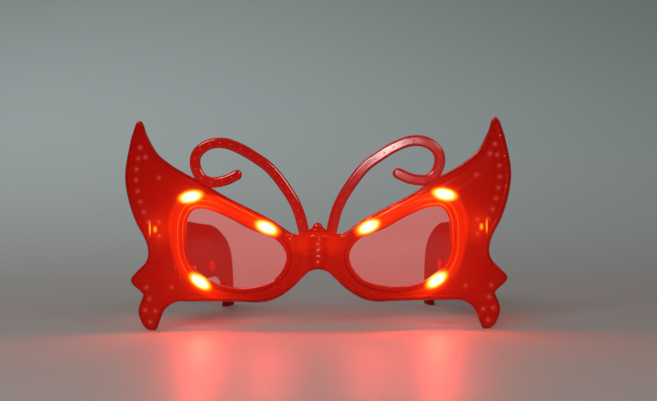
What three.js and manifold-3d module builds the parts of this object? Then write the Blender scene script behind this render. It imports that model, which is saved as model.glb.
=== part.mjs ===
// Party glasses in the shape of a butterfly, with six small lamps that flash.
// Millimetres. X runs across the front, Y back to the arm tips, Z up from the floor.
// The glasses stand on the two wing tails and on the two arm tips, as they do on a table.
// Left is -X and right is +X. Everything in a pair is drawn for the right side and mirrored.

import * as THREE from "three";
import { mergeVertices } from "three/addons/utils/BufferGeometryUtils.js";
import Module from "manifold-3d";

// Clearances and facets
const gap = 0.3;
const overrun = 1;
const weldTolerance = 1e-4;
const bevelSteps = 1;
const roundSides = 14;
const smallSides = 10;
const wireSides = 6;
const capSteps = 4;
const cornerSteps = 2;

// Front moulding
const frontHeight = 87.8;
const wingReach = 25.4;
const wingThickness = 2.55;
const wingEdge = 0.6;
const lensInset = 13.1;
const lensWidth = 41.9;
const lensHeight = 33.3;
const lensBottom = 17.6;
const rimWidth = 5.8;
const rimProud = 0.5;
const rimDepth = 3.3;
const beadWidth = 2.3;
const beadProud = 0.9;
const beadEdge = 0.5;
const lensThickness = 1;
const lensLap = 0.6;
const lensSeat = 1.2;
const footCut = 0.4;

// Channel for the lamps and the lead, at the back of each rim
const channelOffset = 3.3;
const channelWidth = 3.4;
const channelWall = 0.6;
const channelFloor = 1;
const channelBack = 4.6;
const coverThickness = 1;
const spurInset = 4.6;
const spurBelow = 0.8;

// Bridge, body and feelers
const bridgeTop = 40.6;
const noseTop = 25.1;
const noseWidth = 22.8;
const bodyRadius = 4.1;
const bodyDepthShare = 0.66;
const bodyLength = 16.4;
const bodyRibs = 5;
const bodyRibDepth = 0.45;
const headRadius = 2.3;
const headRise = 4;
const feelerWidth = 4;
const feelerThickness = 2;
const feelerReach = 51;
const feelerEdge = 0.6;
const noseRestDepth = 4;
const noseRestWall = 1.6;

// Lamps and the lead
const ledRadius = 1.5;
const ledLength = 5;
const ledFlange = 0.12;
const ledFlangeLength = 0.9;
const ledLegLength = 2.2;
const ledLegSide = 0.5;
const wireRadius = 0.5;
const wireOffset = 2.9;
const grooveSteps = 20;

// Hinges
const hingeInset = 1.93;
const hingeBehindWing = 7;
const hingeMiddle = 42.7;
const knuckleRadius = 2.4;
const knuckleHeight = 3.2;
const pinRadius = 0.9;
const pinPlay = 0.1;
const pinHeadRadius = 1.7;
const pinHeadHeight = 0.6;
const armLean = 9.6;
const wireDrop = 8.2;

// Arms
const armLength = 116;
const armHeight = 47.4;
const armThickness = 3;
const armEdge = 0.6;
const armStart = 3.1;

// Battery boxes
const cellRadius = 5.8;
const cellThickness = 5.4;
const cellSpacing = 0.4;
const cellsPerArm = 3;
const cellMiddle = 33.5;
const boxStartShare = 0.3845;
const boxWall = 1.6;
const boxOuterWall = 1.4;
const boxEdge = 0.8;
const boxCorner = 3;
const coverLedge = 0.8;
const coverPlate = 1.4;
const bayHeight = 8.2;
const bayRib = 1.2;
const contactThickness = 0.3;
const contactHeight = 6;
const contactMargin = 2.4;
const contactCorner = 1.2;

// Electronics and the button
const boardThickness = 0.8;
const boardLength = 15.6;
const boardSupport = 1.6;
const postRadius = 0.8;
const switchSide = 5;
const switchThickness = 2;
const plungerRadius = 1;
const buttonRadius = 2.5;
const buttonTravel = 0.8;
const buttonProud = 1;
const buttonFlange = 0.7;
const buttonFlangeThickness = 0.8;
const chipRadius = 2.4;
const chipHeight = 1.1;
const bossRadius = 2.1;
const screwRadius = 0.9;
const screwHeadRadius = 1.9;
const screwHeadHeight = 0.9;
const screwLength = 6.4;
const bossInset = 5.9;

// Places that follow from the sizes above
const lensOuter = lensInset + lensWidth;
const lensTop = lensBottom + lensHeight;
const rimFront = -rimProud;
const rimBack = rimFront + rimDepth;
const waistShare = 0.636;
const hingeX = lensOuter + waistShare * wingReach - hingeInset;
const hingeY = wingThickness + hingeBehindWing;
const wireCrossing = hingeMiddle - wireDrop;
const boxStart = boxStartShare * armLength;
const boxLength = cellsPerArm * (2 * cellRadius + cellSpacing) + cellSpacing + 2 * boxWall;
const boxEnd = boxStart + boxLength;
const cellTop = cellMiddle + cellRadius + cellSpacing;
const boxTop = cellTop + boxWall;
const ribTop = cellMiddle - cellRadius - cellSpacing;
const bayTop = ribTop - bayRib;
const bayBottom = bayTop - bayHeight;
const boxBottom = bayBottom - boxWall;
const innerFace = -armThickness / 2;
const coverInside = innerFace + coverPlate;
const innerContact = coverInside + gap;
const cellInner = innerContact + contactThickness + gap;
const cellOuter = cellInner + cellThickness;
const outerContact = cellOuter + gap;
const boxFloor = outerContact + contactThickness + gap;
const boxOuter = boxFloor + boxOuterWall;
const bayMiddle = (bayTop + bayBottom) / 2;
const boardEnd = boxEnd - boxWall - 2 * gap;
const boardFar = boxFloor - boardSupport - gap;
const boardNear = boardFar - boardThickness;
const switchFar = boardNear - gap;
const switchNear = switchFar - switchThickness;
const switchAlong = boardEnd - switchSide;
const chipAlong = boardEnd - boardLength + chipRadius + coverLedge;
const bossAlong = boxStart + bossInset;
const wireDepth = innerFace + gap + wireRadius;
const wireInBox = innerContact + wireRadius + gap;
const wireDip = (wireDepth + wireInBox) / 2 - gap;
const wireEntry = ribTop + 2 * wireRadius + gap;

// Colours
const shellRed = new THREE.MeshStandardMaterial({ color: 0xa8180c, roughness: 0.18, metalness: 0 });
const coverRed = new THREE.MeshStandardMaterial({ color: 0x8c120a, roughness: 0.3, metalness: 0 });
const clearLens = new THREE.MeshStandardMaterial({
  color: 0xf2e6e4, roughness: 0.05, metalness: 0, transparent: true, opacity: 0.25,
});
const lampClear = new THREE.MeshStandardMaterial({ color: 0xffe2a0, roughness: 0.1, metalness: 0 });
const blackLead = new THREE.MeshStandardMaterial({ color: 0x161414, roughness: 0.5, metalness: 0 });
const steel = new THREE.MeshStandardMaterial({ color: 0xb9bbbd, roughness: 0.3, metalness: 1 });
const boardGreen = new THREE.MeshStandardMaterial({ color: 0x1d5a34, roughness: 0.5, metalness: 0 });
const blackPlastic = new THREE.MeshStandardMaterial({ color: 0x141414, roughness: 0.4, metalness: 0 });

// Outlines as shares of the sizes that they follow, in smooth runs that meet at corners.
// Wing: X from the lens's outer edge in reaches of the wing, Z in heights of the front.
const wingOuterShares = [
  [0.752, 1], [0.807, 0.987], [0.862, 0.944], [0.913, 0.895], [1, 0.758], [0.972, 0.651], [0.854, 0.535],
  [0.681, 0.435], [0.636, 0.373], [0.681, 0.327], [0.842, 0.279], [0.925, 0.249], [0.894, 0.223], [0.764, 0.189],
  [0.721, 0.174],
];
const wingTailShares = [
  [0.721, 0.171], [0.803, 0.109], [0.787, 0.067], [0.713, 0.023], [0.594, 0], [0.52, 0.004],
  [0.437, 0.061], [0.362, 0.105], [0.185, 0.137], [-0.098, 0.14], [-0.488, 0.139], [-0.878, 0.137],
];
const wingInnerShares = [
  [-0.606, 0.626], [-0.433, 0.667], [-0.283, 0.695], [-0.102, 0.731], [0.185, 0.778], [0.461, 0.843], [0.63, 0.93],
  [0.685, 0.978], [0.713, 0.994],
];
// Lens opening: X from its inner end in widths, Z from its bottom in heights.
const lensShares = [
  [0.107, 0.604], [0.356, 0.764], [0.601, 0.919], [0.8, 0.99], [0.915, 0.985], [0.978, 0.886], [1, 0.673],
  [0.979, 0.396], [0.905, 0.23], [0.726, 0.072], [0.453, 0], [0.174, 0.066], [0.07, 0.17], [0.01, 0.3],
  [0, 0.4], [0.031, 0.502],
];
// Feeler: X from the middle in reaches, Z in heights of the front.
const feelerShares = [
  [0.107, 0.446], [0.152, 0.555], [0.217, 0.635], [0.387, 0.767], [0.51, 0.82], [0.63, 0.862],
  [0.75, 0.888], [0.85, 0.889], [0.927, 0.872], [0.985, 0.838], [1, 0.808], [0.99, 0.764],
  [0.945, 0.721], [0.88, 0.704], [0.81, 0.705], [0.74, 0.715], [0.66, 0.737],
];
// Nose arch and bridge: X in half nose widths, Z in heights from the nose top to the bridge top.
const noseShares = [
  [2.21, -0.885], [1.79, -0.845], [1.39, -0.72], [0.99, -0.516], [0.65, -0.265], [0.36, -0.077], [0, 0],
];
const bridgeTopShares = [[0, 1], [0.4, 1], [0.83, 0.95], [1.15, 0.9]];
// Arm: Y in lengths of the arm, Z in heights of its front end.
const armTopShares = [
  [0.4, 0.93], [0.55, 0.9], [0.67, 0.88], [0.78, 0.825], [0.9, 0.71], [0.965, 0.57], [0.99, 0.4], [1, 0.2], [1, 0],
];
const armBottomShares = [[0.9, 0], [0.897, 0.14], [0.868, 0.26], [0.81, 0.325], [0.73, 0.35]];
const armNeckShares = [[0.386, 0.42], [0.36, 0.52], [0.33, 0.63], [0.27, 0.71], [0.19, 0.76], [0.1, 0.785]];

// Lamps and channel as shares of the way round the lens, from the top inner corner outwards.
const loopSteps = 48;
const channelSteps = 25;
const innerLedShare = 0.05;
const topLedShare = 0.3;
const bottomLedShare = 0.575;
const spurShare = 0.442;
const channelShares = [0.02, 0.604];

const wasm = await Module();
wasm.setup();

// Solids and geometries
function solidOf(geometry) {
  const plain = geometry.clone();
  plain.deleteAttribute("normal");
  plain.deleteAttribute("uv");
  const merged = mergeVertices(plain, weldTolerance);
  const index = merged.index.array;
  const triVerts = [];
  for (let i = 0; i < index.length; i += 3) {
    const [a, b, c] = [index[i], index[i + 1], index[i + 2]];
    if (a !== b && b !== c && c !== a) triVerts.push(a, b, c);
  }
  return new wasm.Manifold(new wasm.Mesh({
    numProp: 3,
    vertProperties: merged.attributes.position.array,
    triVerts: new Uint32Array(triVerts),
  }));
}

function geometryOf(solid) {
  const mesh = solid.getMesh();
  const geometry = new THREE.BufferGeometry();
  geometry.setAttribute("position", new THREE.BufferAttribute(mesh.vertProperties, 3));
  geometry.setIndex(new THREE.BufferAttribute(mesh.triVerts, 1));
  return geometry;
}

function joined(geometries) {
  return geometries.map(solidOf).reduce((whole, piece) => whole.add(piece));
}

function cut(solid, geometries) {
  return geometries.map(solidOf).reduce((rest, tool) => rest.subtract(tool), solid);
}

function mirrored(geometry) {
  const copy = geometry.index ? geometry.toNonIndexed() : geometry.clone();
  copy.deleteAttribute("normal");
  copy.deleteAttribute("uv");
  const places = copy.attributes.position;
  for (let i = 0; i < places.count; i += 3) {
    const second = new THREE.Vector3().fromBufferAttribute(places, i + 1);
    const third = new THREE.Vector3().fromBufferAttribute(places, i + 2);
    places.setXYZ(i + 1, third.x, third.y, third.z);
    places.setXYZ(i + 2, second.x, second.y, second.z);
  }
  return copy.scale(-1, 1, 1);
}

// Curves and flat outlines
function placed(shares, origin, size) {
  return shares.map(([across, up]) => new THREE.Vector2(origin.x + across * size.x, origin.y + up * size.y));
}

function smooth(points, steps) {
  return new THREE.SplineCurve(points).getSpacedPoints(steps);
}

function closedLoop(points, steps) {
  const loop = points.map((point) => new THREE.Vector3(point.x, point.y, 0));
  const curve = new THREE.CatmullRomCurve3(loop, true, "centripetal");
  return curve.getSpacedPoints(steps).slice(0, steps).map((point) => new THREE.Vector2(point.x, point.y));
}

function tangentAt(points, i, closed) {
  const last = points.length - 1;
  const before = closed ? points[(i + last) % points.length] : points[Math.max(i - 1, 0)];
  const after = closed ? points[(i + 1) % points.length] : points[Math.min(i + 1, last)];
  return after.clone().sub(before).normalize();
}

function offsetLoop(points, distance) {
  const outward = THREE.ShapeUtils.isClockWise(points) ? -distance : distance;
  return points.map((point, i) => {
    const along = tangentAt(points, i, true);
    return new THREE.Vector2(point.x + along.y * outward, point.y - along.x * outward);
  });
}

function roundEnd(centre, towards, radius) {
  const start = Math.atan2(towards.y, towards.x) + Math.PI / 2;
  return Array.from({ length: capSteps - 1 }, (_, i) => {
    const angle = start - Math.PI * (i + 1) / capSteps;
    return new THREE.Vector2(centre.x + radius * Math.cos(angle), centre.y + radius * Math.sin(angle));
  });
}

function ribbon(path, width) {
  const sides = [1, -1].map((side) => path.map((point, i) => {
    const along = tangentAt(path, i, false);
    const reach = side * width / 2;
    return new THREE.Vector2(point.x - along.y * reach, point.y + along.x * reach);
  }));
  const last = path.length - 1;
  const farEnd = roundEnd(path[last], tangentAt(path, last, false), width / 2);
  const nearEnd = roundEnd(path[0], tangentAt(path, 0, false).negate(), width / 2);
  return new THREE.Shape([...sides[0], ...farEnd, ...sides[1].reverse(), ...nearEnd]);
}

function roundedRectangle(left, bottom, right, top, radius) {
  const shape = new THREE.Shape();
  shape.moveTo(left + radius, bottom);
  shape.lineTo(right - radius, bottom);
  shape.absarc(right - radius, bottom + radius, radius, -Math.PI / 2, 0, false);
  shape.lineTo(right, top - radius);
  shape.absarc(right - radius, top - radius, radius, 0, Math.PI / 2, false);
  shape.lineTo(left + radius, top);
  shape.absarc(left + radius, top - radius, radius, Math.PI / 2, Math.PI, false);
  shape.lineTo(left, bottom + radius);
  shape.absarc(left + radius, bottom + radius, radius, Math.PI, 1.5 * Math.PI, false);
  return shape;
}

function disc(x, y, radius, sides) {
  const points = Array.from({ length: sides }, (_, i) => {
    const angle = 2 * Math.PI * i / sides;
    return new THREE.Vector2(x + radius * Math.cos(angle), y + radius * Math.sin(angle));
  });
  return new THREE.Shape(points);
}

// Extrusions: flat along Y for the front, along X for the arms, along Z for the hinges
function extruded(shape, depth, edge) {
  const bevel = edge > 0;
  const options = { depth: depth - 2 * edge, bevelEnabled: bevel, curveSegments: cornerSteps };
  if (bevel) {
    Object.assign(options, { bevelThickness: edge, bevelSize: edge, bevelOffset: -edge, bevelSegments: bevelSteps });
  }
  return new THREE.ExtrudeGeometry(shape, options).translate(0, 0, edge);
}

function plate(shape, front, back, edge = 0) {
  return extruded(shape, back - front, edge).rotateX(Math.PI / 2).translate(0, back, 0);
}

function slab(shape, near, far, edge = 0) {
  const turn = new THREE.Matrix4().makeBasis(
    new THREE.Vector3(0, 1, 0), new THREE.Vector3(0, 0, 1), new THREE.Vector3(1, 0, 0),
  );
  return extruded(shape, far - near, edge).applyMatrix4(turn).translate(near, 0, 0);
}

function block(x, y, z) {
  const size = [x, y, z].map(([low, high]) => high - low);
  const middle = [x, y, z].map(([low, high]) => (low + high) / 2);
  return new THREE.BoxGeometry(...size).translate(...middle);
}

function turned(profile, sides) {
  return new THREE.LatheGeometry(profile.map(([radius, height]) => new THREE.Vector2(radius, height)), sides);
}

function rodAlongX(along, up, radius, near, far, sides) {
  return slab(disc(along, up, radius, sides), near, far);
}

function tube(points, radius, steps) {
  const path = new THREE.CatmullRomCurve3(points, false, "centripetal");
  return new THREE.ExtrudeGeometry(disc(0, 0, radius, wireSides), { steps, bevelEnabled: false, extrudePath: path });
}

// The loops round a lens, and the channel's path round its outer half
const lensSize = new THREE.Vector2(lensWidth, lensHeight);
const lensLoop = closedLoop(placed(lensShares, new THREE.Vector2(lensInset, lensBottom), lensSize), loopSteps);

function loopSpan(distance, from, to) {
  const loop = offsetLoop(lensLoop, distance);
  return loop.slice(Math.round(from * loopSteps), Math.round(to * loopSteps) + 1);
}

function loopPoint(distance, share) {
  const loop = offsetLoop(lensLoop, distance);
  const i = Math.round(share * loopSteps);
  return { at: loop[i], along: tangentAt(loop, i, true) };
}

const channelPath = smooth(loopSpan(channelOffset, ...channelShares), channelSteps);
const spurRoot = loopPoint(channelOffset, spurShare).at;
const spurEnd = new THREE.Vector2(hingeX - spurInset, wireCrossing - spurBelow);
const topLedOffset = wireOffset + wireRadius + gap + ledRadius + ledFlange;

function topLedPath() {
  const { at, along } = loopPoint(topLedOffset, topLedShare);
  const domeReach = along.clone().multiplyScalar(ledRadius - ledLength / 2);
  const legReach = along.clone().multiplyScalar(ledLength / 2 + ledLegLength + gap - ledRadius);
  return [at.clone().add(domeReach), at.clone().add(legReach)];
}

// Front moulding: rims, wings, bridge, ribbed body, head, feelers, channel walls and knuckles
const noseOrigin = new THREE.Vector2(0, noseTop);
const noseSize = new THREE.Vector2(noseWidth / 2, bridgeTop - noseTop);

function wingShape() {
  const origin = new THREE.Vector2(lensOuter, -footCut);
  const size = new THREE.Vector2(wingReach, frontHeight + footCut);
  const outer = smooth(placed(wingOuterShares, origin, size), 26);
  const nose = placed(noseShares, noseOrigin, noseSize);
  const lower = smooth([...placed(wingTailShares, origin, size), ...nose], 32);
  const past = [noseTop, bridgeTop].map((height) => new THREE.Vector2(-overrun, height));
  const bridge = placed(bridgeTopShares, noseOrigin, noseSize);
  const inner = smooth(placed(wingInnerShares, origin, size), 12);
  return new THREE.Shape([...outer, ...lower, ...past, ...bridge, ...inner]);
}

function ribbedBody() {
  const stepsPerRib = 4;
  const steps = bodyRibs * stepsPerRib;
  const bottom = bridgeTop - bodyLength;
  const profile = [[0, bottom]];
  for (let i = 0; i <= steps; i += 1) {
    const share = i / steps;
    const swell = Math.sqrt(1 - (2 * share - 1) ** 4);
    const groove = bodyRibDepth * Math.cos(2 * Math.PI * share * bodyRibs);
    const radius = swell * bodyRadius - groove * swell;
    if (i > 0 && i < steps) profile.push([radius, bottom + share * bodyLength]);
  }
  profile.push([0, bridgeTop]);
  return turned(profile, roundSides).rotateX(Math.PI / 2).scale(1, bodyDepthShare, 1);
}

function head() {
  return new THREE.SphereGeometry(headRadius, roundSides, smallSides).translate(0, 0, bridgeTop + headRise - headRadius);
}

function feeler() {
  const path = smooth(placed(feelerShares, new THREE.Vector2(0, 0), new THREE.Vector2(feelerReach, frontHeight)), 28);
  const front = (wingThickness - feelerThickness) / 2;
  return plate(ribbon(path, feelerWidth), front, front + feelerThickness, feelerEdge);
}

function rimRing() {
  return plate(new THREE.Shape(offsetLoop(lensLoop, rimWidth)), rimFront, rimBack, wingEdge);
}

function rimBead() {
  return plate(new THREE.Shape(offsetLoop(lensLoop, beadWidth)), rimFront - beadProud, rimBack - gap, beadEdge);
}

function channelRibbons(width) {
  return [ribbon(channelPath, width), ribbon([spurRoot, spurEnd], width), ribbon(topLedPath(), width)];
}

function channelWalls() {
  const width = channelWidth + 2 * channelWall;
  return channelRibbons(width).map((shape) => plate(shape, channelFloor, channelBack));
}

function channelHollow() {
  return channelRibbons(channelWidth).map((shape) => plate(shape, channelFloor, channelBack + overrun));
}

function noseRest() {
  const path = placed(noseShares.slice(3, 6), new THREE.Vector2(-noseRestWall / 2, noseTop + noseRestWall), noseSize);
  return plate(ribbon(smooth(path, 6), noseRestWall), wingThickness / 2, rimBack + noseRestDepth, feelerEdge);
}

function knuckleShape(towards) {
  const shape = new THREE.Shape();
  shape.moveTo(-knuckleRadius, towards);
  if (towards < 0) {
    shape.lineTo(knuckleRadius, towards);
    shape.absarc(0, 0, knuckleRadius, 0, Math.PI / 2, false);
    shape.absarc(0, 0, knuckleRadius, Math.PI / 2, Math.PI, false);
  } else {
    shape.absarc(0, 0, knuckleRadius, Math.PI, 1.5 * Math.PI, false);
    shape.absarc(0, 0, knuckleRadius, 1.5 * Math.PI, 2 * Math.PI, false);
    shape.lineTo(knuckleRadius, towards);
  }
  return shape;
}

const pinHole = pinRadius + pinPlay;
const knuckleStep = knuckleHeight + gap;

function frameKnuckles() {
  const shape = knuckleShape(wingThickness / 2 - hingeY);
  return [-1, 1].map((side) => extruded(shape, knuckleHeight, 0)
    .translate(hingeX, hingeY, hingeMiddle + side * knuckleStep - knuckleHeight / 2));
}

function pinBore(x, y) {
  const span = 2 * knuckleStep + knuckleHeight;
  return new THREE.CylinderGeometry(pinHole, pinHole, span, smallSides)
    .rotateX(Math.PI / 2).translate(x, y, hingeMiddle);
}

function frontHalf() {
  return joined([
    plate(wingShape(), 0, wingThickness, wingEdge),
    rimRing(),
    rimBead(),
    feeler(),
    ...channelWalls(),
    noseRest(),
    ...frameKnuckles(),
  ]);
}

function lensHollow() {
  const opening = plate(new THREE.Shape(lensLoop), rimFront - beadProud - overrun, rimBack + overrun);
  const rebate = plate(new THREE.Shape(offsetLoop(lensLoop, lensLap + gap)), lensSeat, rimBack + overrun);
  return [opening, rebate];
}

function wireNotch() {
  const end = ribbon([spurEnd, new THREE.Vector2(spurEnd.x + channelWidth, spurEnd.y)], 2 * (wireRadius + gap));
  return plate(end, wingThickness, channelBack + overrun);
}

function frontFrame() {
  const half = geometryOf(frontHalf());
  const whole = joined([
    half,
    mirrored(half),
    ribbedBody(),
    head(),
  ]);
  const hollows = [...lensHollow(), ...channelHollow(), wireNotch(), pinBore(hingeX, hingeY)];
  const behindBody = block(
    [-bodyRadius - overrun, bodyRadius + overrun],
    [wingThickness, wingThickness + bodyRadius],
    [bridgeTop - bodyLength - overrun, bridgeTop + headRise + overrun],
  );
  const floor = block([-frontHeight, frontHeight], [-frontHeight, frontHeight], [-frontHeight, 0]);
  return geometryOf(cut(whole, [...hollows, ...hollows.map(mirrored), behindBody, floor]));
}

// Small pieces of the front
function lens() {
  const front = lensSeat + gap;
  return plate(new THREE.Shape(offsetLoop(lensLoop, lensLap)), front, front + lensThickness);
}

function rearCover() {
  const width = channelWidth + 2 * channelWall;
  const front = channelBack + gap;
  return geometryOf(joined(channelRibbons(width).map((shape) => plate(shape, front, front + coverThickness))));
}

function lamp() {
  const base = -ledLength / 2;
  const flange = ledRadius + ledFlange;
  const domeStart = ledLength / 2 - ledRadius;
  const profile = [[0, base], [flange, base], [flange, base + ledFlangeLength], [ledRadius, base + ledFlangeLength]];
  for (let i = 0; i < capSteps; i += 1) {
    const angle = Math.PI / 2 * i / capSteps;
    profile.push([ledRadius * Math.cos(angle), domeStart + ledRadius * Math.sin(angle)]);
  }
  profile.push([0, domeStart + ledRadius]);
  const half = ledLegSide / 2;
  const legs = [-1, 1].map((side) => {
    const middle = side * ledRadius / 2;
    return block([middle - half, middle + half], [base - ledLegLength, base + ledFlangeLength], [-half, half]);
  });
  return geometryOf(joined([turned(profile, smallSides), ...legs]));
}

const ledY = channelFloor + gap + ledRadius;
const wireY = ledY;

function ledPlace(share, distance, facing) {
  const spot = loopPoint(distance, share);
  const along = spot.along.clone().multiplyScalar(facing);
  return { at: new THREE.Vector3(spot.at.x, ledY, spot.at.y), turn: Math.atan2(along.x, along.y) };
}

function legEnd(share, facing) {
  const { at, along } = loopPoint(channelOffset, share);
  return at.clone().addScaledVector(along, -facing * (ledLength / 2 + ledLegLength + gap));
}

function wireSpan() {
  const step = lensLoop[0].distanceTo(lensLoop[1]);
  const stop = Math.ceil((ledLength / 2 + ledLegLength + gap) / step) / loopSteps + 1 / loopSteps;
  const path = loopSpan(wireOffset, innerLedShare + stop, bottomLedShare - stop);
  const whole = [legEnd(innerLedShare, -1), ...path, legEnd(bottomLedShare, 1)];
  return whole.map((point) => new THREE.Vector3(point.x, wireY, point.y));
}

function frameWire() {
  const run = wireSpan();
  const bend = 2 * wireRadius;
  const start = new THREE.Vector3(hingeX, hingeY, wireCrossing - gap / 2);
  const notchY = (rimBack + channelBack) / 2;
  const wallEnd = spurEnd.x + channelWidth / 2 + channelWall;
  const spur = [
    start,
    start.clone().add(new THREE.Vector3(0, 0, -bend)),
    start.clone().add(new THREE.Vector3(-bend / 2, -bend, -2 * bend)),
    new THREE.Vector3(wallEnd + bend, notchY + bend, (start.z - 2 * bend + spurEnd.y) / 2),
    new THREE.Vector3(wallEnd, notchY, spurEnd.y),
    new THREE.Vector3(spurEnd.x, wireY, spurEnd.y),
    new THREE.Vector3(spurRoot.x, wireY, spurRoot.y),
    new THREE.Vector3(spurRoot.x - (channelOffset - wireOffset), wireY, spurRoot.y),
  ];
  return geometryOf(joined([tube(run, wireRadius, 26), tube(spur, wireRadius, 14)]));
}

function hingePin() {
  const length = 2 * knuckleStep + knuckleHeight;
  const top = length / 2 + gap;
  return turned([
    [0, -length / 2], [pinRadius, -length / 2], [pinRadius, top], [pinHeadRadius, top],
    [pinHeadRadius, top + pinHeadHeight], [0, top + pinHeadHeight],
  ], smallSides).rotateX(Math.PI / 2);
}

// Arm in its own frame: X outwards, Y back from the hinge pin, Z up from the floor
function armShape() {
  const size = new THREE.Vector2(armLength, armHeight);
  const origin = new THREE.Vector2(0, 0);
  const knuckleReach = knuckleStep + knuckleHeight / 2;
  const top = [new THREE.Vector2(armStart, hingeMiddle + knuckleReach), ...placed(armTopShares, origin, size)];
  const bottom = placed(armBottomShares, origin, size);
  const neck = [...placed(armNeckShares, origin, size), new THREE.Vector2(armStart, hingeMiddle - knuckleReach)];
  return new THREE.Shape([
    ...smooth(top, 22),
    ...smooth(bottom, 8),
    new THREE.Vector2(boxEnd - boxCorner, boxBottom + boxCorner),
    new THREE.Vector2(boxStart + boxCorner, boxBottom + boxCorner),
    ...smooth(neck, 9),
  ]);
}

function boxShape(inset) {
  return roundedRectangle(boxStart + inset, boxBottom + inset, boxEnd - inset, boxTop - inset, boxCorner - inset);
}

function armGroovePath() {
  const low = hingeMiddle - knuckleStep;
  return [
    new THREE.Vector2(armStart + gap, low - knuckleHeight),
    new THREE.Vector2(armStart + knuckleRadius, low),
    new THREE.Vector2(armStart + 3 * knuckleRadius, hingeMiddle - knuckleRadius),
    new THREE.Vector2(boxStart * 0.6, hingeMiddle - knuckleRadius),
    new THREE.Vector2(boxStart - 2 * knuckleRadius, cellMiddle + cellRadius / 2),
    new THREE.Vector2(boxStart - 4 * wireRadius, wireEntry + 5 * wireRadius),
    new THREE.Vector2(boxStart + boxWall - gap, wireEntry),
  ];
}

function screwBoss() {
  return rodAlongX(bossAlong, bayMiddle, bossRadius, coverInside + gap, boxFloor + boxOuterWall / 2, smallSides);
}

function boardPosts() {
  const reach = boardLength / 2 - 2 * postRadius;
  const middle = boardEnd - boardLength / 2;
  return [-1, 1].map((side) => rodAlongX(
    middle + side * reach, bayMiddle, postRadius, boardFar + gap, boxFloor + boxOuterWall / 2, wireSides,
  ));
}

function bayDivider() {
  return block([coverInside + gap, boxFloor + boxOuterWall / 2], [boxStart + boxWall / 2, boxEnd - boxWall / 2], [bayTop, ribTop]);
}

function temple() {
  const shell = joined([
    slab(armShape(), innerFace, innerFace + armThickness, armEdge),
    slab(boxShape(0), innerFace, boxOuter, boxEdge),
    extruded(knuckleShape(armStart + armEdge + overrun), knuckleHeight, 0).translate(0, 0, hingeMiddle - knuckleHeight / 2),
  ]);
  const groove = smooth(armGroovePath(), grooveSteps);
  const grooveWidth = 2 * (wireRadius + gap);
  const hollow = [
    slab(boxShape(boxWall), innerFace - overrun, boxFloor),
    slab(boxShape(coverLedge), innerFace - overrun, coverInside + gap),
    slab(ribbon(groove, grooveWidth), innerFace - overrun, wireDepth + wireRadius + gap),
    slab(ribbon(groove.slice(grooveSteps - 3), grooveWidth), innerFace - overrun, wireDip + wireRadius + gap),
    block(
      [innerFace - overrun, wireInBox + wireRadius + gap],
      [boxStart, boxStart + boxWall + overrun],
      [wireEntry - 2 * wireRadius, wireEntry + 2 * wireRadius],
    ),
    pinBore(0, 0),
  ];
  const open = cut(shell, hollow);
  const fitted = [screwBoss(), bayDivider(), ...boardPosts()].map(solidOf).reduce((whole, piece) => whole.add(piece), open);
  const pilot = rodAlongX(bossAlong, bayMiddle, screwRadius + gap, coverInside, boxFloor - gap, smallSides);
  const notch = block(
    [coverInside, wireInBox + 3 * wireRadius + gap],
    [boxStart + boxWall / 2, boxStart + boxWall + gap + 3 * wireRadius],
    [bayTop - overrun, ribTop + overrun],
  );
  return geometryOf(cut(fitted, [pilot, notch]));
}

function templeWire() {
  const start = wireCrossing + gap / 2;
  const groove = smooth(armGroovePath(), grooveSteps);
  const inGroove = groove.slice(0, grooveSteps - 1).map((point) => new THREE.Vector3(wireDepth, point.x, point.y));
  const beside = boxStart + boxWall + gap + wireRadius;
  const low = bayTop - wireRadius - gap;
  const points = [
    new THREE.Vector3(0, 0, start),
    new THREE.Vector3(0, 0, start + wireRadius),
    new THREE.Vector3(wireDepth / 3, knuckleRadius / 2, start + 2 * wireRadius),
    ...inGroove,
    new THREE.Vector3(wireDip, boxStart, wireEntry + wireRadius),
    new THREE.Vector3(wireInBox, boxStart + coverLedge + gap, wireEntry),
    new THREE.Vector3(wireInBox, beside, wireEntry - wireRadius),
    new THREE.Vector3(wireInBox + wireRadius, beside + wireRadius / 2, low),
    new THREE.Vector3(wireInBox + 2 * wireRadius, bossAlong + bossRadius, low - wireRadius / 2),
    new THREE.Vector3((boardNear + boardFar) / 2, boardEnd - boardLength - 4 * wireRadius, bayMiddle),
    new THREE.Vector3((boardNear + boardFar) / 2, boardEnd - boardLength - gap, bayMiddle),
  ];
  return tube(points, wireRadius, 38);
}

function batteryCover() {
  const body = joined([slab(boxShape(coverLedge + gap), innerFace, coverInside)]);
  const sink = rodAlongX(bossAlong, bayMiddle, screwHeadRadius + gap, innerFace - overrun, innerFace + screwHeadHeight - gap, smallSides);
  const shaft = rodAlongX(bossAlong, bayMiddle, screwRadius + gap, innerFace - overrun, coverInside + overrun, smallSides);
  const button = rodAlongX(switchAlong, bayMiddle, buttonRadius + gap, innerFace - overrun, coverInside + overrun, roundSides);
  return geometryOf(cut(body, [sink, shaft, button]));
}

function alongX(geometry, x, y, z) {
  return geometry.rotateZ(-Math.PI / 2).translate(x, y, z);
}

function coverScrew() {
  const head = screwHeadHeight - gap - gap;
  return alongX(turned([
    [0, 0], [screwHeadRadius, 0], [screwHeadRadius, head], [screwRadius, head], [screwRadius, screwLength - screwRadius],
    [0, screwLength],
  ], smallSides), innerFace, bossAlong, bayMiddle);
}

function buttonCell() {
  const edge = cellSpacing;
  return turned([
    [0, 0], [cellRadius - 2 * edge, 0], [cellRadius, 2 * edge],
    [cellRadius, cellThickness - edge], [cellRadius - edge, cellThickness], [0, cellThickness],
  ], roundSides).rotateZ(-Math.PI / 2);
}

function cellAlong(i) {
  return boxStart + boxWall + cellSpacing + cellRadius + i * (2 * cellRadius + cellSpacing);
}

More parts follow.
